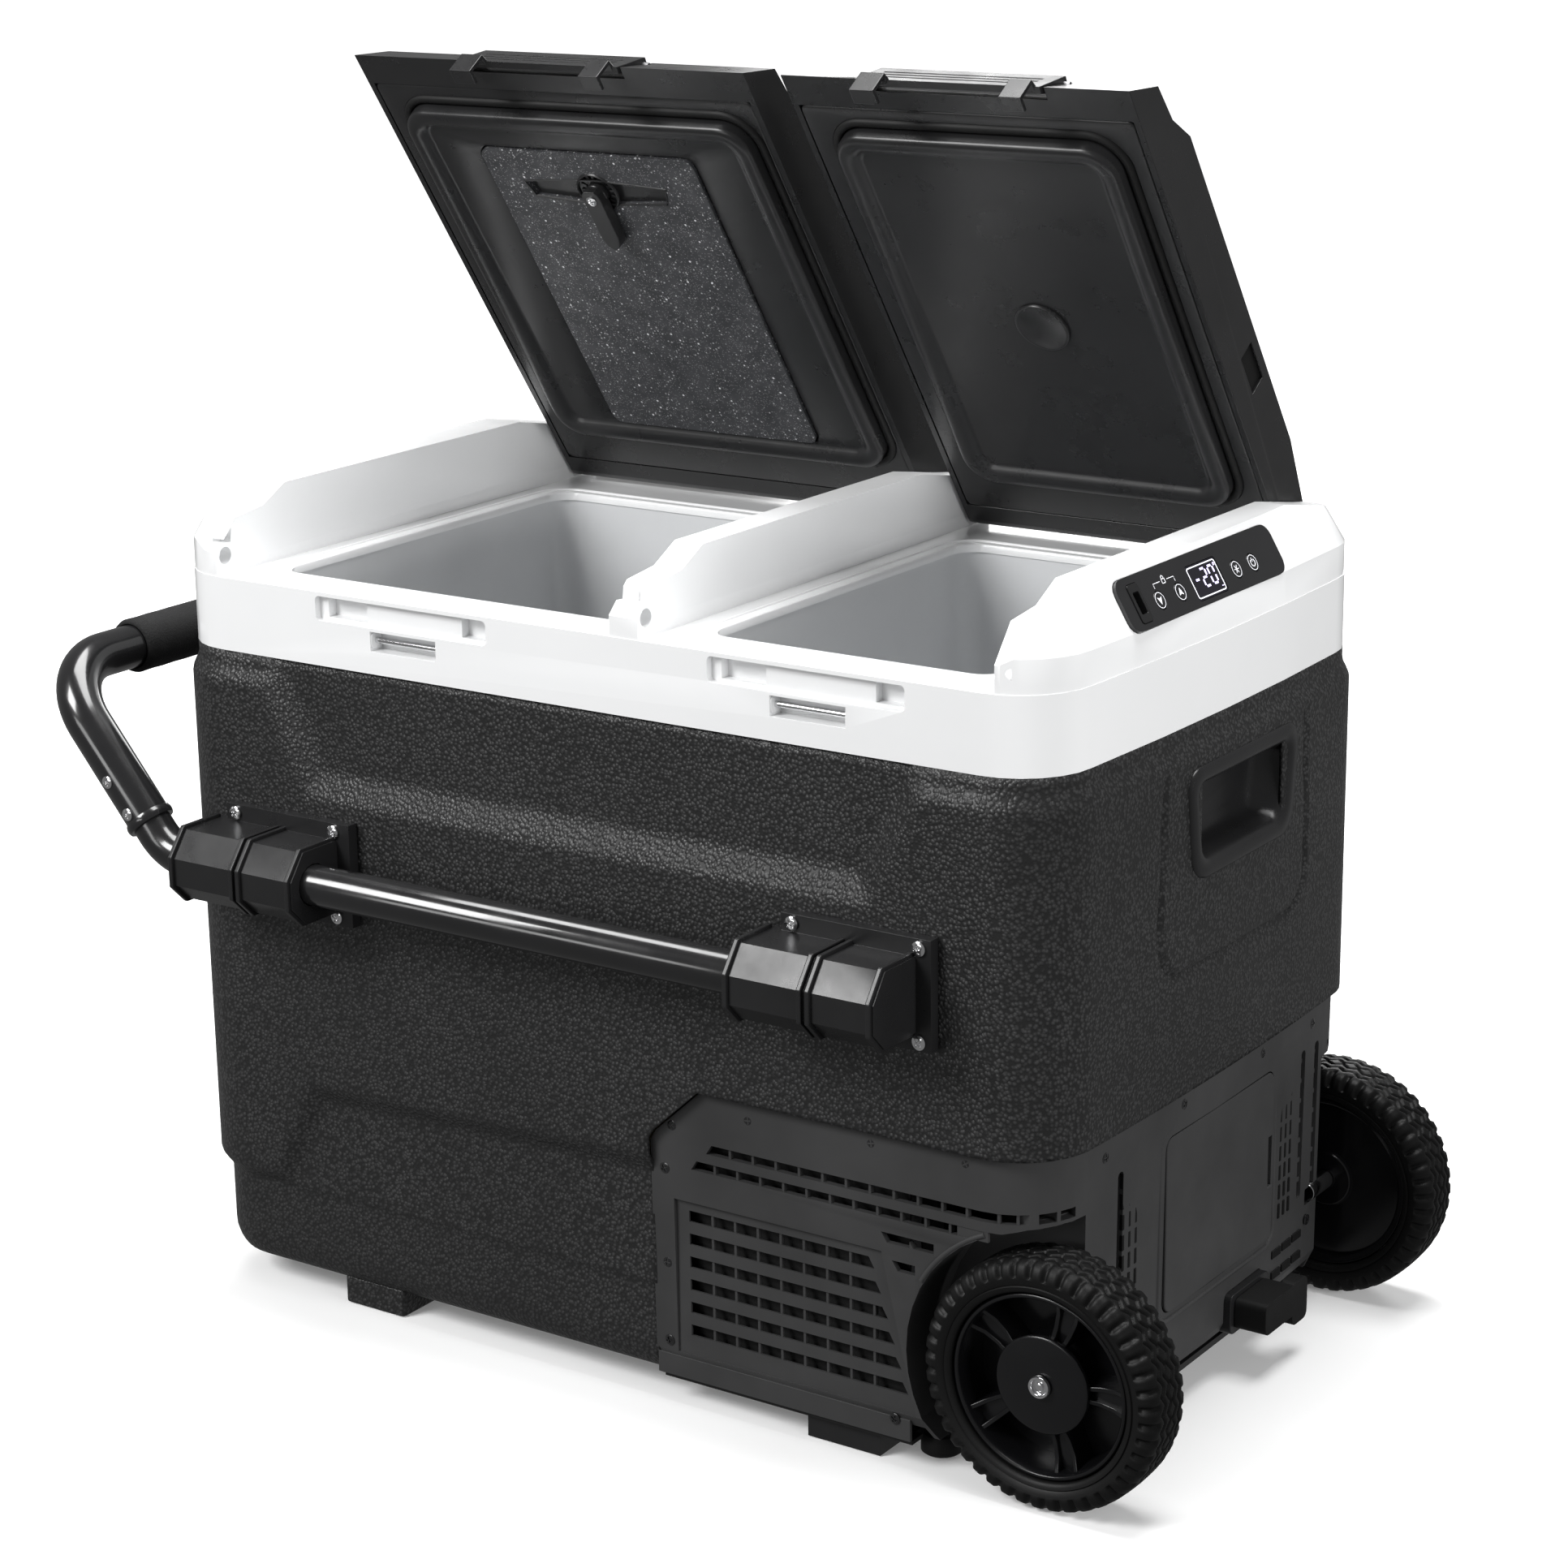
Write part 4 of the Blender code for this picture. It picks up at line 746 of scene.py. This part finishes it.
# ---- lids
def fine_lid_panel(side):
    """The lid's inner panel with its rounded rim, open for the board in the left lid, and the gasket."""
    lid, (x0, x1) = f"{side}_lid", LIDS[side]
    edge, rim = (x0 + 4.3, x1 - 4.3, -170.7, 154.7), (*RIM_X[side], *RIM_Y)
    rings = [grown(edge, -inset, 4, z) for inset, z in ((0, 475), (0, 470), (0.4, 469.3), (1.2, 469))]
    rings += [grown(rim, *ring) for ring in ((6.2, 26, 469), (5.9, 26, 469.4), (5.8, 26, 473.5), (0.2, 20, 473.5))]
    roll = ((0, 462.6), (-0.3, 461.2), (-1.2, 460), (-2.6, 459.3), (-4.4, 459), (-6.6, 459.1), (-8.8, 459.6),
            (-10.6, 460.6), (-12, 462), (-12.8, 463.2), (-13.8, 463.8), (-15.5, 464))
    rings += [grown(rim, grow, 20 + 0.8 * grow, z) for grow, z in roll]
    if side == "left":
        rings += [grown(BOARD, *ring) for ring in ((2.2, 9, 464), (1.2, 8.5, 464.6), (1, 8, 470))]
    else:
        rings.append(grown(rim, -30, 6, 464))
    stand_in(lid + "_panel", loft(rings), lid, LID, sharp=40)
    a, b, c, d = rim
    path = level_ring(a - 3, b + 3, c - 3.5, d + 3.5, 23, 470)
    section = [(2.6, 3.2), (-2.6, 3.2), (-2.6, -1.6), (-1.7, -2.9), (0, -3.3), (1.7, -2.9), (2.6, -1.6)]
    stand_in(lid + "_gasket", looped(path, section), lid, LID, sharp=60)


def fine_board():
    """Cutting board with a bow-shaped recess, and the lever that turns in it on a toothed washer."""
    x0, x1, y0, y1 = BOARD
    at_knob = LID @ shift(*KNOB, 0)
    on_board = {"body": "board", "at": at_knob}
    recess = [(-54, -6), (-12, -9), (12, -9), (54, -6), (52, 0), (50, 6), (12, 9), (-12, 9), (-50, 6), (-52, 0)]
    cuts = [prism(recess, "Z", 455, 466.2), cylinder("Z", (0, 0), 13.2, 455, 466.4, 40),
            cylinder("Z", (0, 0), 4.4, 450, 480, 24)]
    stand_in("cutting_board", prism(rounded(x0, x1, y0, y1, 7), "Z", 462.7, 469.7), "board", LID, edge=0.7,
            cuts=[moved(cut, shift(*KNOB, 0)) for cut in cuts])
    teeth = [moved(box((8.4, -1.15, -2.6), (12.6, 1.15, 0)), rotate(22.5 * i, "Z")) for i in range(16)]
    teeth.append(turned([(4.5, -1.6), (8.8, -1.6), (8.8, 0), (4.5, 0)], 48, "Z"))
    piece("lever_washer", moved(join(*teeth), shift(0, 0, 466.2)), **on_board, edge=0.3)
    floor = [(x * 0.97, y * 0.97) for x, y in recess]
    piece("lever_recess_floor", prism(floor, "Z", 465.7, 466.5), **on_board, edge=0.2)
    lip = looped([(x, y, 462.6) for x, y in recess], [(-0.8, 0.3), (-0.5, -0.5), (0.5, -0.5), (0.8, 0.3)])
    piece("lever_recess_lip", lip, **on_board, sharp=60)
    collar = turned([(13, 463.4), (13.2, 462.2), (14, 461.6), (14.8, 462.2), (15, 463.4)], 56, "Z")
    piece("lever_collar", collar, **on_board, sharp=60)
    arm = [(4, -6.6), (6.2, -4), (6.8, 0), (6.6, 31), (4.6, 37.5)]
    arm += [(0, 41)] + [(-x, y) for x, y in reversed(arm)]
    parts = [prism(arm, "Z", 454.6, 462.2),
            turned([(0, 459.5), (6.6, 459.5), (7.4, 460.3), (7.4, 465), (0, 465)], 40, "Z"),
            turned([(0, 464), (3.8, 464), (3.8, 472), (0, 472)], 24, "Z")]
    stand_in("board_lever", join(*parts), "lever", at_knob, edge=1.3, steps=3)
    piece("lever_screw", screw_head(3.6, 1.2, (0, 0, -1), (0, 0, 454.7)), "chrome", "lever", at_knob)


def fine_lid(side):
    lid = f"{side}_lid"
    refined(lid + "_shell", 1.6, 3, lid)
    refined(lid + "_foam", 0.5, 1, lid)
    fine_lid_panel(side)
    a, b = RIM_X[side]
    middle = (a + b) / 2
    ledge = [prism(rounded(low, high, 126.5, 129.5, 1.2), "Z", 467.6, 469.2)
            for low, high in ((a + 16, middle - 6), (middle + 6, b - 16))]
    piece(lid + "_ledge_lines", join(*ledge), "trim_black", lid, LID, edge=0.5)
    for number in (1, 2):
        refined(f"{side}_hinge_pin_{number}", 0.3)
    refined(f"{side}_latch_pin", 0.2, body=lid)
    fine_latch(side, LATCH_X[side])


def fine_latch(side, middle):
    """Flap with finger grooves on both of its broad faces, and its two hooks."""
    half = 60.5
    top, foot, foot_in, top_in = (-180.5, 493.5), (-194.3, 467.5), (-189.5, 467), (-174.2, 487.5)
    flap = prism([foot, foot_in, top_in, (-175.5, 492.5), top], "X", middle - half, middle + half)
    cuts = []
    for start, end, depth in ((foot, top, 0.9), (foot_in, top_in, 0.8)):
        start, end = Vector(start), Vector(end)
        way = (end - start).normalized()
        out = Vector((-way.y, way.x))
        for share in (0.26, 0.46, 0.66):
            groove = [start.lerp(end, share) + way * u + out * v
                    for u, v in ((-1.1, depth), (-1.1, -depth), (1.1, -depth), (1.1, depth))]
            cuts.append(prism(groove, "X", middle - half + 9, middle + half - 9))
    stand_in(f"{side}_latch", flap, f"{side}_latch_flap", LID, edge=0.5, cuts=cuts)
    hook = [(-199, 452.5), (-188.8, 452.5), (-188.8, 454.9), (-196.5, 455.2), (-196.5, 466.7),
            (-190, 467.3), (-190.4, 470.6), (-199, 468)]
    tabs = [prism(hook, "X", middle + low, middle + high) for low, high in ((-54, -38), (43, 57))]
    piece(f"{side}_latch_hooks", join(*tabs), "trim_black", f"{side}_latch_flap", LID, edge=0.5)


def lid_pocket():
    """Near-black plate at the back of the small pocket in the right lid's side: painted shade standing for the
    pocket's shadow.
    """
    x = LIDS["right"][1]
    piece("right_lid_pocket", box((x - 3.3, 20, 486), (x - 1.9, 52, 505)), "trim_black", "right_lid", LID,
          edge=0.2, mat=PAINTED_SHADE)


def fine_disc():
    """Plug over the foaming hole of the right lid: a plain disc with a thin raised edge."""
    x, y = DISC_AT
    profile = [(0, 462.6), (14.6, 462.6), (15.2, 462), (16.8, 461.8), (17.4, 462.3), (17.5, 463.7), (0, 463.7)]
    stand_in("right_lid_plug", moved(turned(profile, 64, "Z"), shift(x, y, 0)), "right_lid", LID, sharp=50)


# ---- control panel
def stroke(points, width, low, high, closed=False):
    """Flat line drawn on the panel: points are (y, z) in the panel's frame."""
    path = [Vector((0, *p)) for p in points]
    rings = []
    for i, point in enumerate(path):
        before = path[i - 1] if closed or i else point
        after = path[(i + 1) % len(path)] if closed or i < len(path) - 1 else point
        across = Vector((1, 0, 0)).cross((after - before).normalized()) * width / 2
        rings.append([(x, p.y, p.z) for x, p in ((low, point - across), (low, point + across),
                (high, point + across), (high, point - across))])
    return loft(rings, not closed, closed)


def digit(char, y, w):
    """Seven-bar figure on the display, with its left edge at y."""
    z, h, thick = -6, 10.5, 1.3
    # Corners 0 and 1 are at the bottom, 2 and 3 in the middle, 4 and 5 at the top
    bars = {"0": ("45", "53", "31", "01", "02", "24"), "2": ("45", "53", "23", "02", "01"), "-": ("23",)}[char]
    out = []
    for bar in bars:
        start, end = (Vector((y + w * (int(n) % 2), z + h / 2 * (int(n) // 2))) for n in bar)
        cut = (end - start).normalized() * thick * 0.65
        out.append(stroke([start + cut, end - cut], thick, 0.3, 0.5))
    return out


def button_mark(name, y):
    """Ring and symbol on a button: arrows, a star for set, a broken ring for power."""
    z = BUTTON_UP
    marks = [stroke(circle(4.6, 40, (y, z)), 0.32, 0.55, 0.78, True)]
    if name in ("down", "up"):
        way = 1 if name == "up" else -1
        arrow = [(y - 2.2, z - 1.9 * way), (y, z - 0.9 * way), (y + 2.2, z - 1.9 * way), (y, z + 2.6 * way)]
        marks.append(prism(arrow, "X", 0.6, 0.78))
    elif name == "set":
        for i in range(3):
            u, v = polar(2.6, radians(60 * i))
            marks.append(stroke([(y - u, z - v), (y + u, z + v)], 0.4, 0.6, 0.78))
    else:
        arc = [polar(2.3, radians(90 - a)) for a in range(40, 321, 20)]
        marks += [stroke([(y + u, z + v) for u, v in arc], 0.45, 0.6, 0.78),
                stroke([(y, z + 0.4), (y, z + 3)], 0.45, 0.6, 0.78)]
    return join(*marks)


def fine_panel():
    """Control panel: fascia, display with figures, four buttons, a padlock mark and the USB socket."""
    half_y, half_z = PANEL_SIZE[0] / 2, PANEL_SIZE[1] / 2
    y0, y1, z0, z1 = WINDOW
    cuts = [prism(rounded(y0 - 0.3, y1 + 0.3, z0 - 0.3, z1 + 0.3, 2.3), "X", -8, 6),
            prism(rounded(-80.3, -67.7, -12.3, 11.3, 2.3), "X", -8, 6)]
    cuts += [cylinder("X", (y, BUTTON_UP), 5.8, -8, 6, 40) for y in BUTTONS.values()]
    stand_in("panel_fascia", prism(rounded(-half_y, half_y, -half_z, half_z, 8), "X", -2.2, 0.6), at=PANEL,
            edge=0.5, cuts=cuts)
    stand_in("display_window", prism(rounded(*WINDOW, 2), "X", -2.2, 0.35), at=PANEL, edge=0.2)
    border = stroke(rounded(y0 + 1.4, y1 - 1.4, z0 + 1.4, z1 - 1.4, 1.6, 4), 0.7, 0.3, 0.5, True)
    piece("display_border", border, "display_glass", at=PANEL, mat=GLOWING_PRINT)
    marks = digit("-", -9.2, 5.2) + digit("2", -0.6, 5.6) + digit("0", 8.4, 5.6)
    marks += [stroke(circle(0.8, 16, (16.6, 4.6)), 0.35, 0.3, 0.5, True),
            stroke([(15.6, -8.8), (17.6, -8.8)], 0.5, 0.3, 0.5)]
    piece("display_figures", join(*marks), "display_glass", at=PANEL, mat=DIGIT)
    for name, y in BUTTONS.items():
        cap = turned([(0, -3.2), (5.5, -3.2), (5.5, 0.1), (5.2, 0.55), (4.4, 0.7), (0, 0.55)], 48, "X")
        stand_in(f"{name}_button", moved(cap, shift(0, y, BUTTON_UP)), f"{name}_key", PANEL, sharp=50)
        piece(f"{name}_mark", button_mark(name, y), "panel_gloss", f"{name}_key", PANEL, mat=GLOWING_PRINT)
    left, right, top = BUTTONS["down"], BUTTONS["up"], 6.4
    mid = (left + right) / 2
    shackle = [(mid - 1.1, top + 0.9), (mid - 1.1, top + 2.2), (mid, top + 2.9), (mid + 1.1, top + 2.2),
            (mid + 1.1, top + 0.9)]
    lock = [stroke([(left, 3.6), (left, top), (mid - 4, top)], 0.35, 0.5, 0.7),
            stroke([(mid + 4, top), (right, top), (right, 3.6)], 0.35, 0.5, 0.7),
            stroke(rounded(mid - 1.7, mid + 1.7, top - 1.6, top + 0.9, 0.4, 3), 0.4, 0.5, 0.7, True),
            stroke(shackle, 0.4, 0.5, 0.7)]
    piece("lock_mark", join(*lock), "panel_gloss", at=PANEL, mat=GLOWING_PRINT)
    slot = prism(rounded(-77.2, -70.8, -7, 6, 1), "X", -8.5, 9)
    stand_in("usb_socket", prism(rounded(-80, -68, -12, 11, 2), "X", -10.5, 1.2), at=PANEL, edge=0.4,
            cuts=[slot])
    piece("usb_tongue", box((-8.4, -74.7, -5.2), (-6.6, -73.3, 4.2)), at=PANEL, edge=0.2)
    refined("control_board", 0.2, 1)


# ---- tow handle
def fine_handle():
    """Two tubes with a hoop sleeved over their ends, its screws and nuts, and the foam grip."""
    path = []
    for name, side in FACES.items():
        y = side * TUBE_Y
        end, corner, top = (Vector(p) for p in ((TUBE_END_X, y, TUBE_Z), (ELBOW_X, y, TUBE_Z), (HOOP_X, y, HOOP_Z)))
        along = (top - corner).normalized()
        tube = [end, end - Vector((1, 0, 0))] + bend(corner, end, top, 36, 14) + [corner + along * 62]
        radii = [TUBE_R - 1] + [TUBE_R] * (len(tube) - 1)
        stand_in(f"handle_tube_{name}", sweep(tube, radii, 40), "tow_handle", sharp=50)
        steps = ((23.2, -0.5), (23.4, 0.9), (25.2, 1.5), (27.2, 1.5), (29, 0.9), (29.2, -0.3))
        ring = sweep([corner + along * d for d, _ in steps], [HOOP_R + grow for _, grow in steps], 40)
        piece(f"{name}_sleeve_ring", ring, "tube_black", "tow_handle", sharp=60)
        heads, nuts = [], []
        out = Vector((0, side, 0))
        for step in (34, 58):
            at = corner + along * step
            heads.append(screw_head(3.9, 2, out, at + out * 13.4, 20))
            nut = turned([(0, 0), (2.6, 0), (2.6, 2.6), (1.6, 3.4), (0, 3.4)], 24, "Z")
            nuts.append(moved(nut, facing(-out, at - out * 13.6)))
        piece(f"{name}_sleeve_screws", join(*heads), "chrome", "tow_handle")
        piece(f"{name}_sleeve_nuts", join(*nuts), "steel", "tow_handle")
        run = [corner + along * 24, corner + along * 25] + bend(top, corner, (HOOP_X, 0, HOOP_Z), 42, 16)
        path += run if side < 0 else run[::-1]
    hoop = loft(rings_about(path, HOOP_R, 40) + rings_about(path, TUBE_R + 0.3, 40)[::-1], around=True)
    stand_in("handle_hoop", hoop, "tow_handle", sharp=50)
    half = GRIP_HALF - 2.6
    rim = [(HOOP_R + 0.6, GRIP_HALF), (GRIP_R - 2.2, GRIP_HALF), (GRIP_R - 0.8, GRIP_HALF - 0.7), (GRIP_R, half)]
    grip = [(r, -y) for r, y in rim]
    grip += [(GRIP_R - 0.25 * sin(i * 1.7) ** 2, half * (i / 16 - 1)) for i in range(1, 32)] + rim[::-1]
    stand_in("foam_grip", moved(turned(grip, 56), shift(HOOP_X, 0, HOOP_Z)), "tow_handle", sharp=50)


def fine_bracket(name, end, side):
    """The moulded bracket with rounded edges, ribs and four cross-head screws."""
    middle = BRACKET_X[end]
    refined(name, 1.4, 3)
    face = side * (BODY_HY + 7.8)
    heads = []
    for u in (-41.5, 37 if end == "left" else 41.5):
        for v in (-27, 27):
            at = (middle + u, face, TUBE_Z + v)
            heads.append(screw_head(4.3, 2.3, (0, side, 0), at, 17 * u + v))
    piece(f"{name}_screws", join(*heads), "chrome")
    outline = [(side * (TUBE_Y + u), TUBE_Z + v) for u, v in ((-24, -24.2), (10, -24.2), (22.2, -12), (22.2, 7),
            (9, 24.2), (-24, 24.2))]
    ribs = [prism(outline, "X", middle + x - 1.6, middle + x + 1.6) for x in (-57.4, -8.4, -3, 36.2)]
    stop = middle + 80 if end == "left" else TUBE_END_X + 1.5
    bore = cylinder("X", (side * TUBE_Y, TUBE_Z), TUBE_R + 0.8, middle - 80, stop, 40)
    piece(f"{name}_ribs", join(*ribs), edge=0.8, cuts=[bore])


# ---- compressor bay
def at_corner(low, high, degrees, side):
    """Box set on the top vent row where it turns the corner over a wheel; +X faces outwards."""
    u, v = polar(BODY_R - 6, side * radians(degrees))
    place = shift(CORNER_X + u, side * CORNER_Y + v, VENT_Z)
    return moved(box(low, high), place @ rotate(side * degrees, "Z"))


def near_wheel(x, z, margin):
    return hypot(x - WHEEL_X, z - WHEEL_R) < WELL_R + margin


def cover_cuts():
    """Sunken field round the low vents, short vents by the arch and the top vents round the corner."""
    cuts = []
    for side in SIDES:
        cuts.append(side_prism(side, [(62, 34), (228, 34), (224, 50), (206, 132), (62, 132)], 188.7, 196))
        for left, right, z in ((210, 225, 141), (227.5, 241, 141), (217, 228.5, 125)):
            vent = [(left, z - 3), (right, z - 3), (right, z + 3), (left - 4, z + 3)]
            cuts.append(side_prism(side, vent, 178, 196))
        cuts += [at_corner((-6, -5.4, -3), (4, 5.4, 3), degrees, side) for degrees in (37, 19)]
    return cuts


def end_grooves():
    """Dashed grooves beside the end vents and the small slots below the door, drawn as near-black strips of painted
    shade.
    """
    def mark(y, half, z0, z1):
        return box((end_x(y) - 0.8, y - half, z0), (end_x(y) + 1.15, y + half, z1))

    marks = [mark(y, 1.2, 76 + 12.6 * number, 85.6 + 12.6 * number)
            for y in (-107, -100, -93, 90, 97, 104) for number in range(8)]
    marks += [mark(y, half, z - 2.6, z + 2.6)
            for y, half in ((-92, 7), (-74, 7), (88, 6), (103, 6), (118, 6)) for z in (40, 54)]
    piece("end_grooves", join(*marks), mat=PAINTED_SHADE, edge=0.3)


def round_feet():
    foot = [(0, 0.2), (11, 0.2), (12.5, 1.4), (12.5, 9), (11, 12), (9, 13), (9, 24), (0, 24)]
    feet = [moved(turned(foot, 40, "Z"), shift(226, side * 158, 0)) for side in SIDES]
    piece("round_feet", join(*feet), "gasket_rubber")


def vent_bridges():
    """Thin ribs across the long vents, a little below the cover's face."""
    bridges = []
    for side in SIDES:
        for number in range(2):
            z, x = VENT_Z - 12 * number, 86 - 11 * number + VENT_PITCH
            while x < 268:
                bridges.append(side_box(side, x - 0.9, x + 0.9, 186.6, 190.3, z - 3.4, z + 3.4))
                x += VENT_PITCH
        bridges += [at_corner((-3.6, -0.9, -3.4), (-0.6, 0.9, 3.4), degrees, side) for degrees in (75, 60)]
        for number in range(6):
            z, x = 122 - 14.5 * number, 71 + VENT_PITCH
            while x < 192 + 4.5 * number:
                if not near_wheel(x, z, 5):
                    bridges.append(side_box(side, x - 0.9, x + 0.9, 184.6, 187.8, z - 3.8, z + 3.8))
                x += VENT_PITCH
    for y in (120, 140):
        for z in range(90, 172, 13):
            bridges.append(box((end_x(y) - 3.6, y - 3.4, z - 1.5), (end_x(y) - 0.9, y + 3.4, z + 1.5)))
    piece("vent_bridges", join(*bridges), mat=COVER, edge=0.3)


def fine_cover():
    """Compressor cover with its vents, wheel arches and screws, and what is in the bay."""
    refined("compressor_cover", 0.9, mat=COVER, cuts=cover_cuts())
    end_grooves()
    round_feet()
    vent_bridges()
    skirts, arches, heads = [], [], []
    # Near-black sheets of painted shade: behind the vents and the bay, where they also hide the foam, and below, in
    # the gap between the base plate and the cover's sides
    back = [box((50, -174, 19), (51.5, 174, 184))]
    for side in SIDES:
        # The second closes the end of the second vent row, where it would meet the wheel well
        skirts += [side_box(side, 47, 224, 187.5, 189.8, 17.5, 31),
                side_box(side, 256, 276, 188.5, 190.8, 152.6, 159.4)]
        back += [side_box(side, 62, 219, 179.5, 180.5, 34, 182), side_box(side, 50, 224, 176, 187.4, 14.5, 17.4)]
        arch = [polar(WELL_R + 1.6, radians(a)) for a in range(-34, 153, 4)]
        arch = [(WHEEL_X + u, side * 190.3, WHEEL_R + v) for u, v in arch]
        arches.append(sweep([p for p in arch if p[0] < 276 and p[2] > 24], 1.7, 14))
        for x, z in ((62, 178), (116, 192), (200, 196), (262, 197), (56, 150), (56, 90), (56, 40), (238, 62),
                (214, 30)):
            if not near_wheel(x, z, 4):
                at = (x, side * (BODY_HY - (6.9 if z < 120 else 5.9) - 0.2), z)
                heads.append(screw_head(3.4, 1.2, (0, side, 0), at, 23 * z))
    for y, z in ((-128, 190), (-40, 194), (60, 194), (132, 190), (-128, 60), (132, 60)):
        heads.append(screw_head(3.4, 1.2, (1, 0, 0), (end_x(y) + 1, y, z), 31 * z + y))
    piece("cover_skirts", join(*skirts), mat=COVER, edge=0.2)
    piece("vent_painted_shade", join(*back), mat=PAINTED_SHADE, edge=0.3)
    piece("wheel_arch_lips", join(*arches), mat=COVER)
    piece("cover_screws", join(*heads), "steel", mat=MATS["tube_black"])
    for node in ("base_plate", "compressor", "condenser", "fan_shroud", "battery_pack"):
        refined(node, 0.8)
    refined("fan_rotor", 0.3, 1, "fan")


def fine_end():
    """Battery door and its surround, the power inlet and its cap."""
    refined("battery_door", 0.9, 3, "battery_hatch", mat=COVER)
    y0, y1, z0, z1 = DOOR
    path = [(end_x(y) + 0.6, y, z) for y, z in rounded(y0 - 5.5, y1 + 5.5, z0 - 5.5, z1 + 5.5, 11)]
    ridge = looped(path, [(-1.8, -0.6), (-1.3, 0.7), (0, 1.2), (1.3, 0.7), (1.8, -0.6), (0, -1.2)], (1, 0, 0))
    piece("door_surround", ridge, mat=COVER, sharp=60)
    refined("power_inlet", 0.7)
    refined("power_inlet_cap", 1.6, 3, "inlet_cap")


# ---- wheels
def tyre_depth(turn, y, r):
    """How far the tread is cut in: zigzag grooves on the crown, open lugs on the shoulders."""
    deep, phase = 0, abs((turn * TREAD_LUGS) % 1 - 0.5)
    if r > 70:
        zig = 1.8 * (phase * 4 - 1)
        for line in (-8.5, -2.8, 2.8, 8.5):
            gap = abs(y - line - zig * (1 if line > 0 else -1))
            deep = max(deep, 1.7 * (1 - smooth_step(gap, 0.5, 1.3)))
    if abs(y) > 11.5 and r > 64.5:
        cut = 1 - smooth_step(phase, 0.12, 0.2)
        fade = smooth_step(abs(y), 11.5, 13.5) * smooth_step(r, 64.5, 66.5)
        deep = max(deep, 2.3 * cut * fade)
    return deep


def fine_tyre(name, side):
    half = WHEEL_W / 2
    wall = ((56, 3.4), (56.6, 2.2), (58.2, 1.5), (59.6, 1.2), (60.2, 1.9), (61, 1.2), (63.4, 0.5), (64.2, 0.3),
            (64.8, 0.1), (66.2, 0), (67.6, 0.1), (69.2, 0.5), (70.8, 1.2), (72.2, 2.2), (73.2, 3.6), (74, 5.2),
            (74.4, 7))
    profile = [(r, half - inset) for r, inset in wall]
    crown = [(74.4 + 0.5 * cos(pi * y / 26), y) for y in [12.5 - 25 * i / 38 for i in range(39)]]
    profile = profile + crown + [(r, -y) for r, y in reversed(profile)]
    steps = 396
    rings = []
    for i, a in enumerate(turns(steps)):
        ring = []
        for r, y in profile:
            deep = tyre_depth(i / steps, y, r)
            lean = smooth_step(abs(y), 13, 19)
            u, v = polar(r - deep * (1 - 0.45 * lean), a)
            ring.append((u, y - copysign(deep * 0.9 * lean, y), v))
        rings.append(ring)
    center = shift(WHEEL_X, side * (WHEEL_FACE - half), WHEEL_R)
    stand_in(f"{name}_tyre", moved(loft(rings, around=True), center), name, sharp=60)


def fine_hub(name, side):
    """Dished hub: a rim barrel, five double-ribbed spokes and a flat centre disc."""
    parts = [turned([(50.5, -13), (53.2, -14.6), (55.3, -15), (55.3, 15.2), (54.4, 16.2), (53, 16.4),
            (52.2, 15.4), (51.6, 12), (50.6, 3), (50.3, -6)], 96),
            turned([(6.3, -12), (17, -12), (18.5, -10), (20, -1), (28.6, 8.6), (29.4, 12), (28.8, 13),
            (27.6, 13.4), (6.3, 13.4)], 80),
            turned([(15, -9.5), (50.8, -9.5), (50.8, -7.6), (15, -7.6)], 80)]
    for start in turns(SPOKES):
        for lean in (-7.2, 7.2):
            foot, tip = (Vector(placed("Y", *polar(r, start + radians(lean * grow)), 0))
                    for r, grow in ((26, 1.05), (52, 1)))
            way = (tip - foot).normalized()
            across, up = Vector((-way.z, 0, way.x)) * 1.7, Vector((0, 1, 0))
            rings = []
            for share, high in ((0, 10.6), (0.35, 8.6), (0.7, 9.2), (1, 12.8)):
                at = foot.lerp(tip, share)
                rings.append([at - across - up * 8, at + across - up * 8, at + across * 0.8 + up * high,
                        at - across * 0.8 + up * high])
            parts.append(loft(rings))
        plate = []
        for degrees in (-7, -3.5, 0, 3.5, 7):
            u, v = polar(1, start + radians(degrees))
            plate.append([(r * u, y, r * v) for r, y in ((26, 6.4), (51.5, 7), (51.5, -8.2), (26, -8.2))])
        parts.append(loft(plate))
    for part in parts:
        face_out(part)
    place = shift(WHEEL_X, side * (WHEEL_FACE - WHEEL_W / 2), WHEEL_R) @ Matrix.Scale(side, 4, (0, 1, 0))
    stand_in(f"{name}_hub", moved(join(*parts), place), name, edge=0.6, sharp=40)


def fine_bolt(name, side):
    outer = WHEEL_FACE - 5.7
    head = ((6, 0), (6.8, 0), (6.8, 1.6), (6.2, 2.4), (5, 2.5), (4.6, 2), (4.4, 0.2), (2.6, 0.2), (2.4, 1.3),
            (1.8, 1.7), (0, 1.7))
    profile = [(0, 138), (5.7, 138), (6, 138.4)] + [(r, outer + out) for r, out in head]
    place = shift(WHEEL_X, 0, WHEEL_R) @ Matrix.Scale(side, 4, (0, 1, 0))
    stand_in(f"{name}_axle_bolt", moved(turned(profile, 48), place), sharp=40)


studio()
fine_shell()
shrunk_foam()
hand_pocket("left_carry_pocket", -1)
hand_pocket("right_carry_pocket", 1)
for which in ENDS:
    fine_tub(which)
fine_frame()
for which in ENDS:
    fine_lid(which)
fine_board()
fine_disc()
lid_pocket()
fine_panel()
fine_handle()
for which, where in FACES.items():
    for end_name in ENDS:
        fine_bracket(f"{which}_{end_name}_bracket", end_name, where)
fine_cover()
fine_end()
for which, where in FACES.items():
    for fine_part in (fine_tyre, fine_hub, fine_bolt):
        fine_part(which + "_wheel", where)
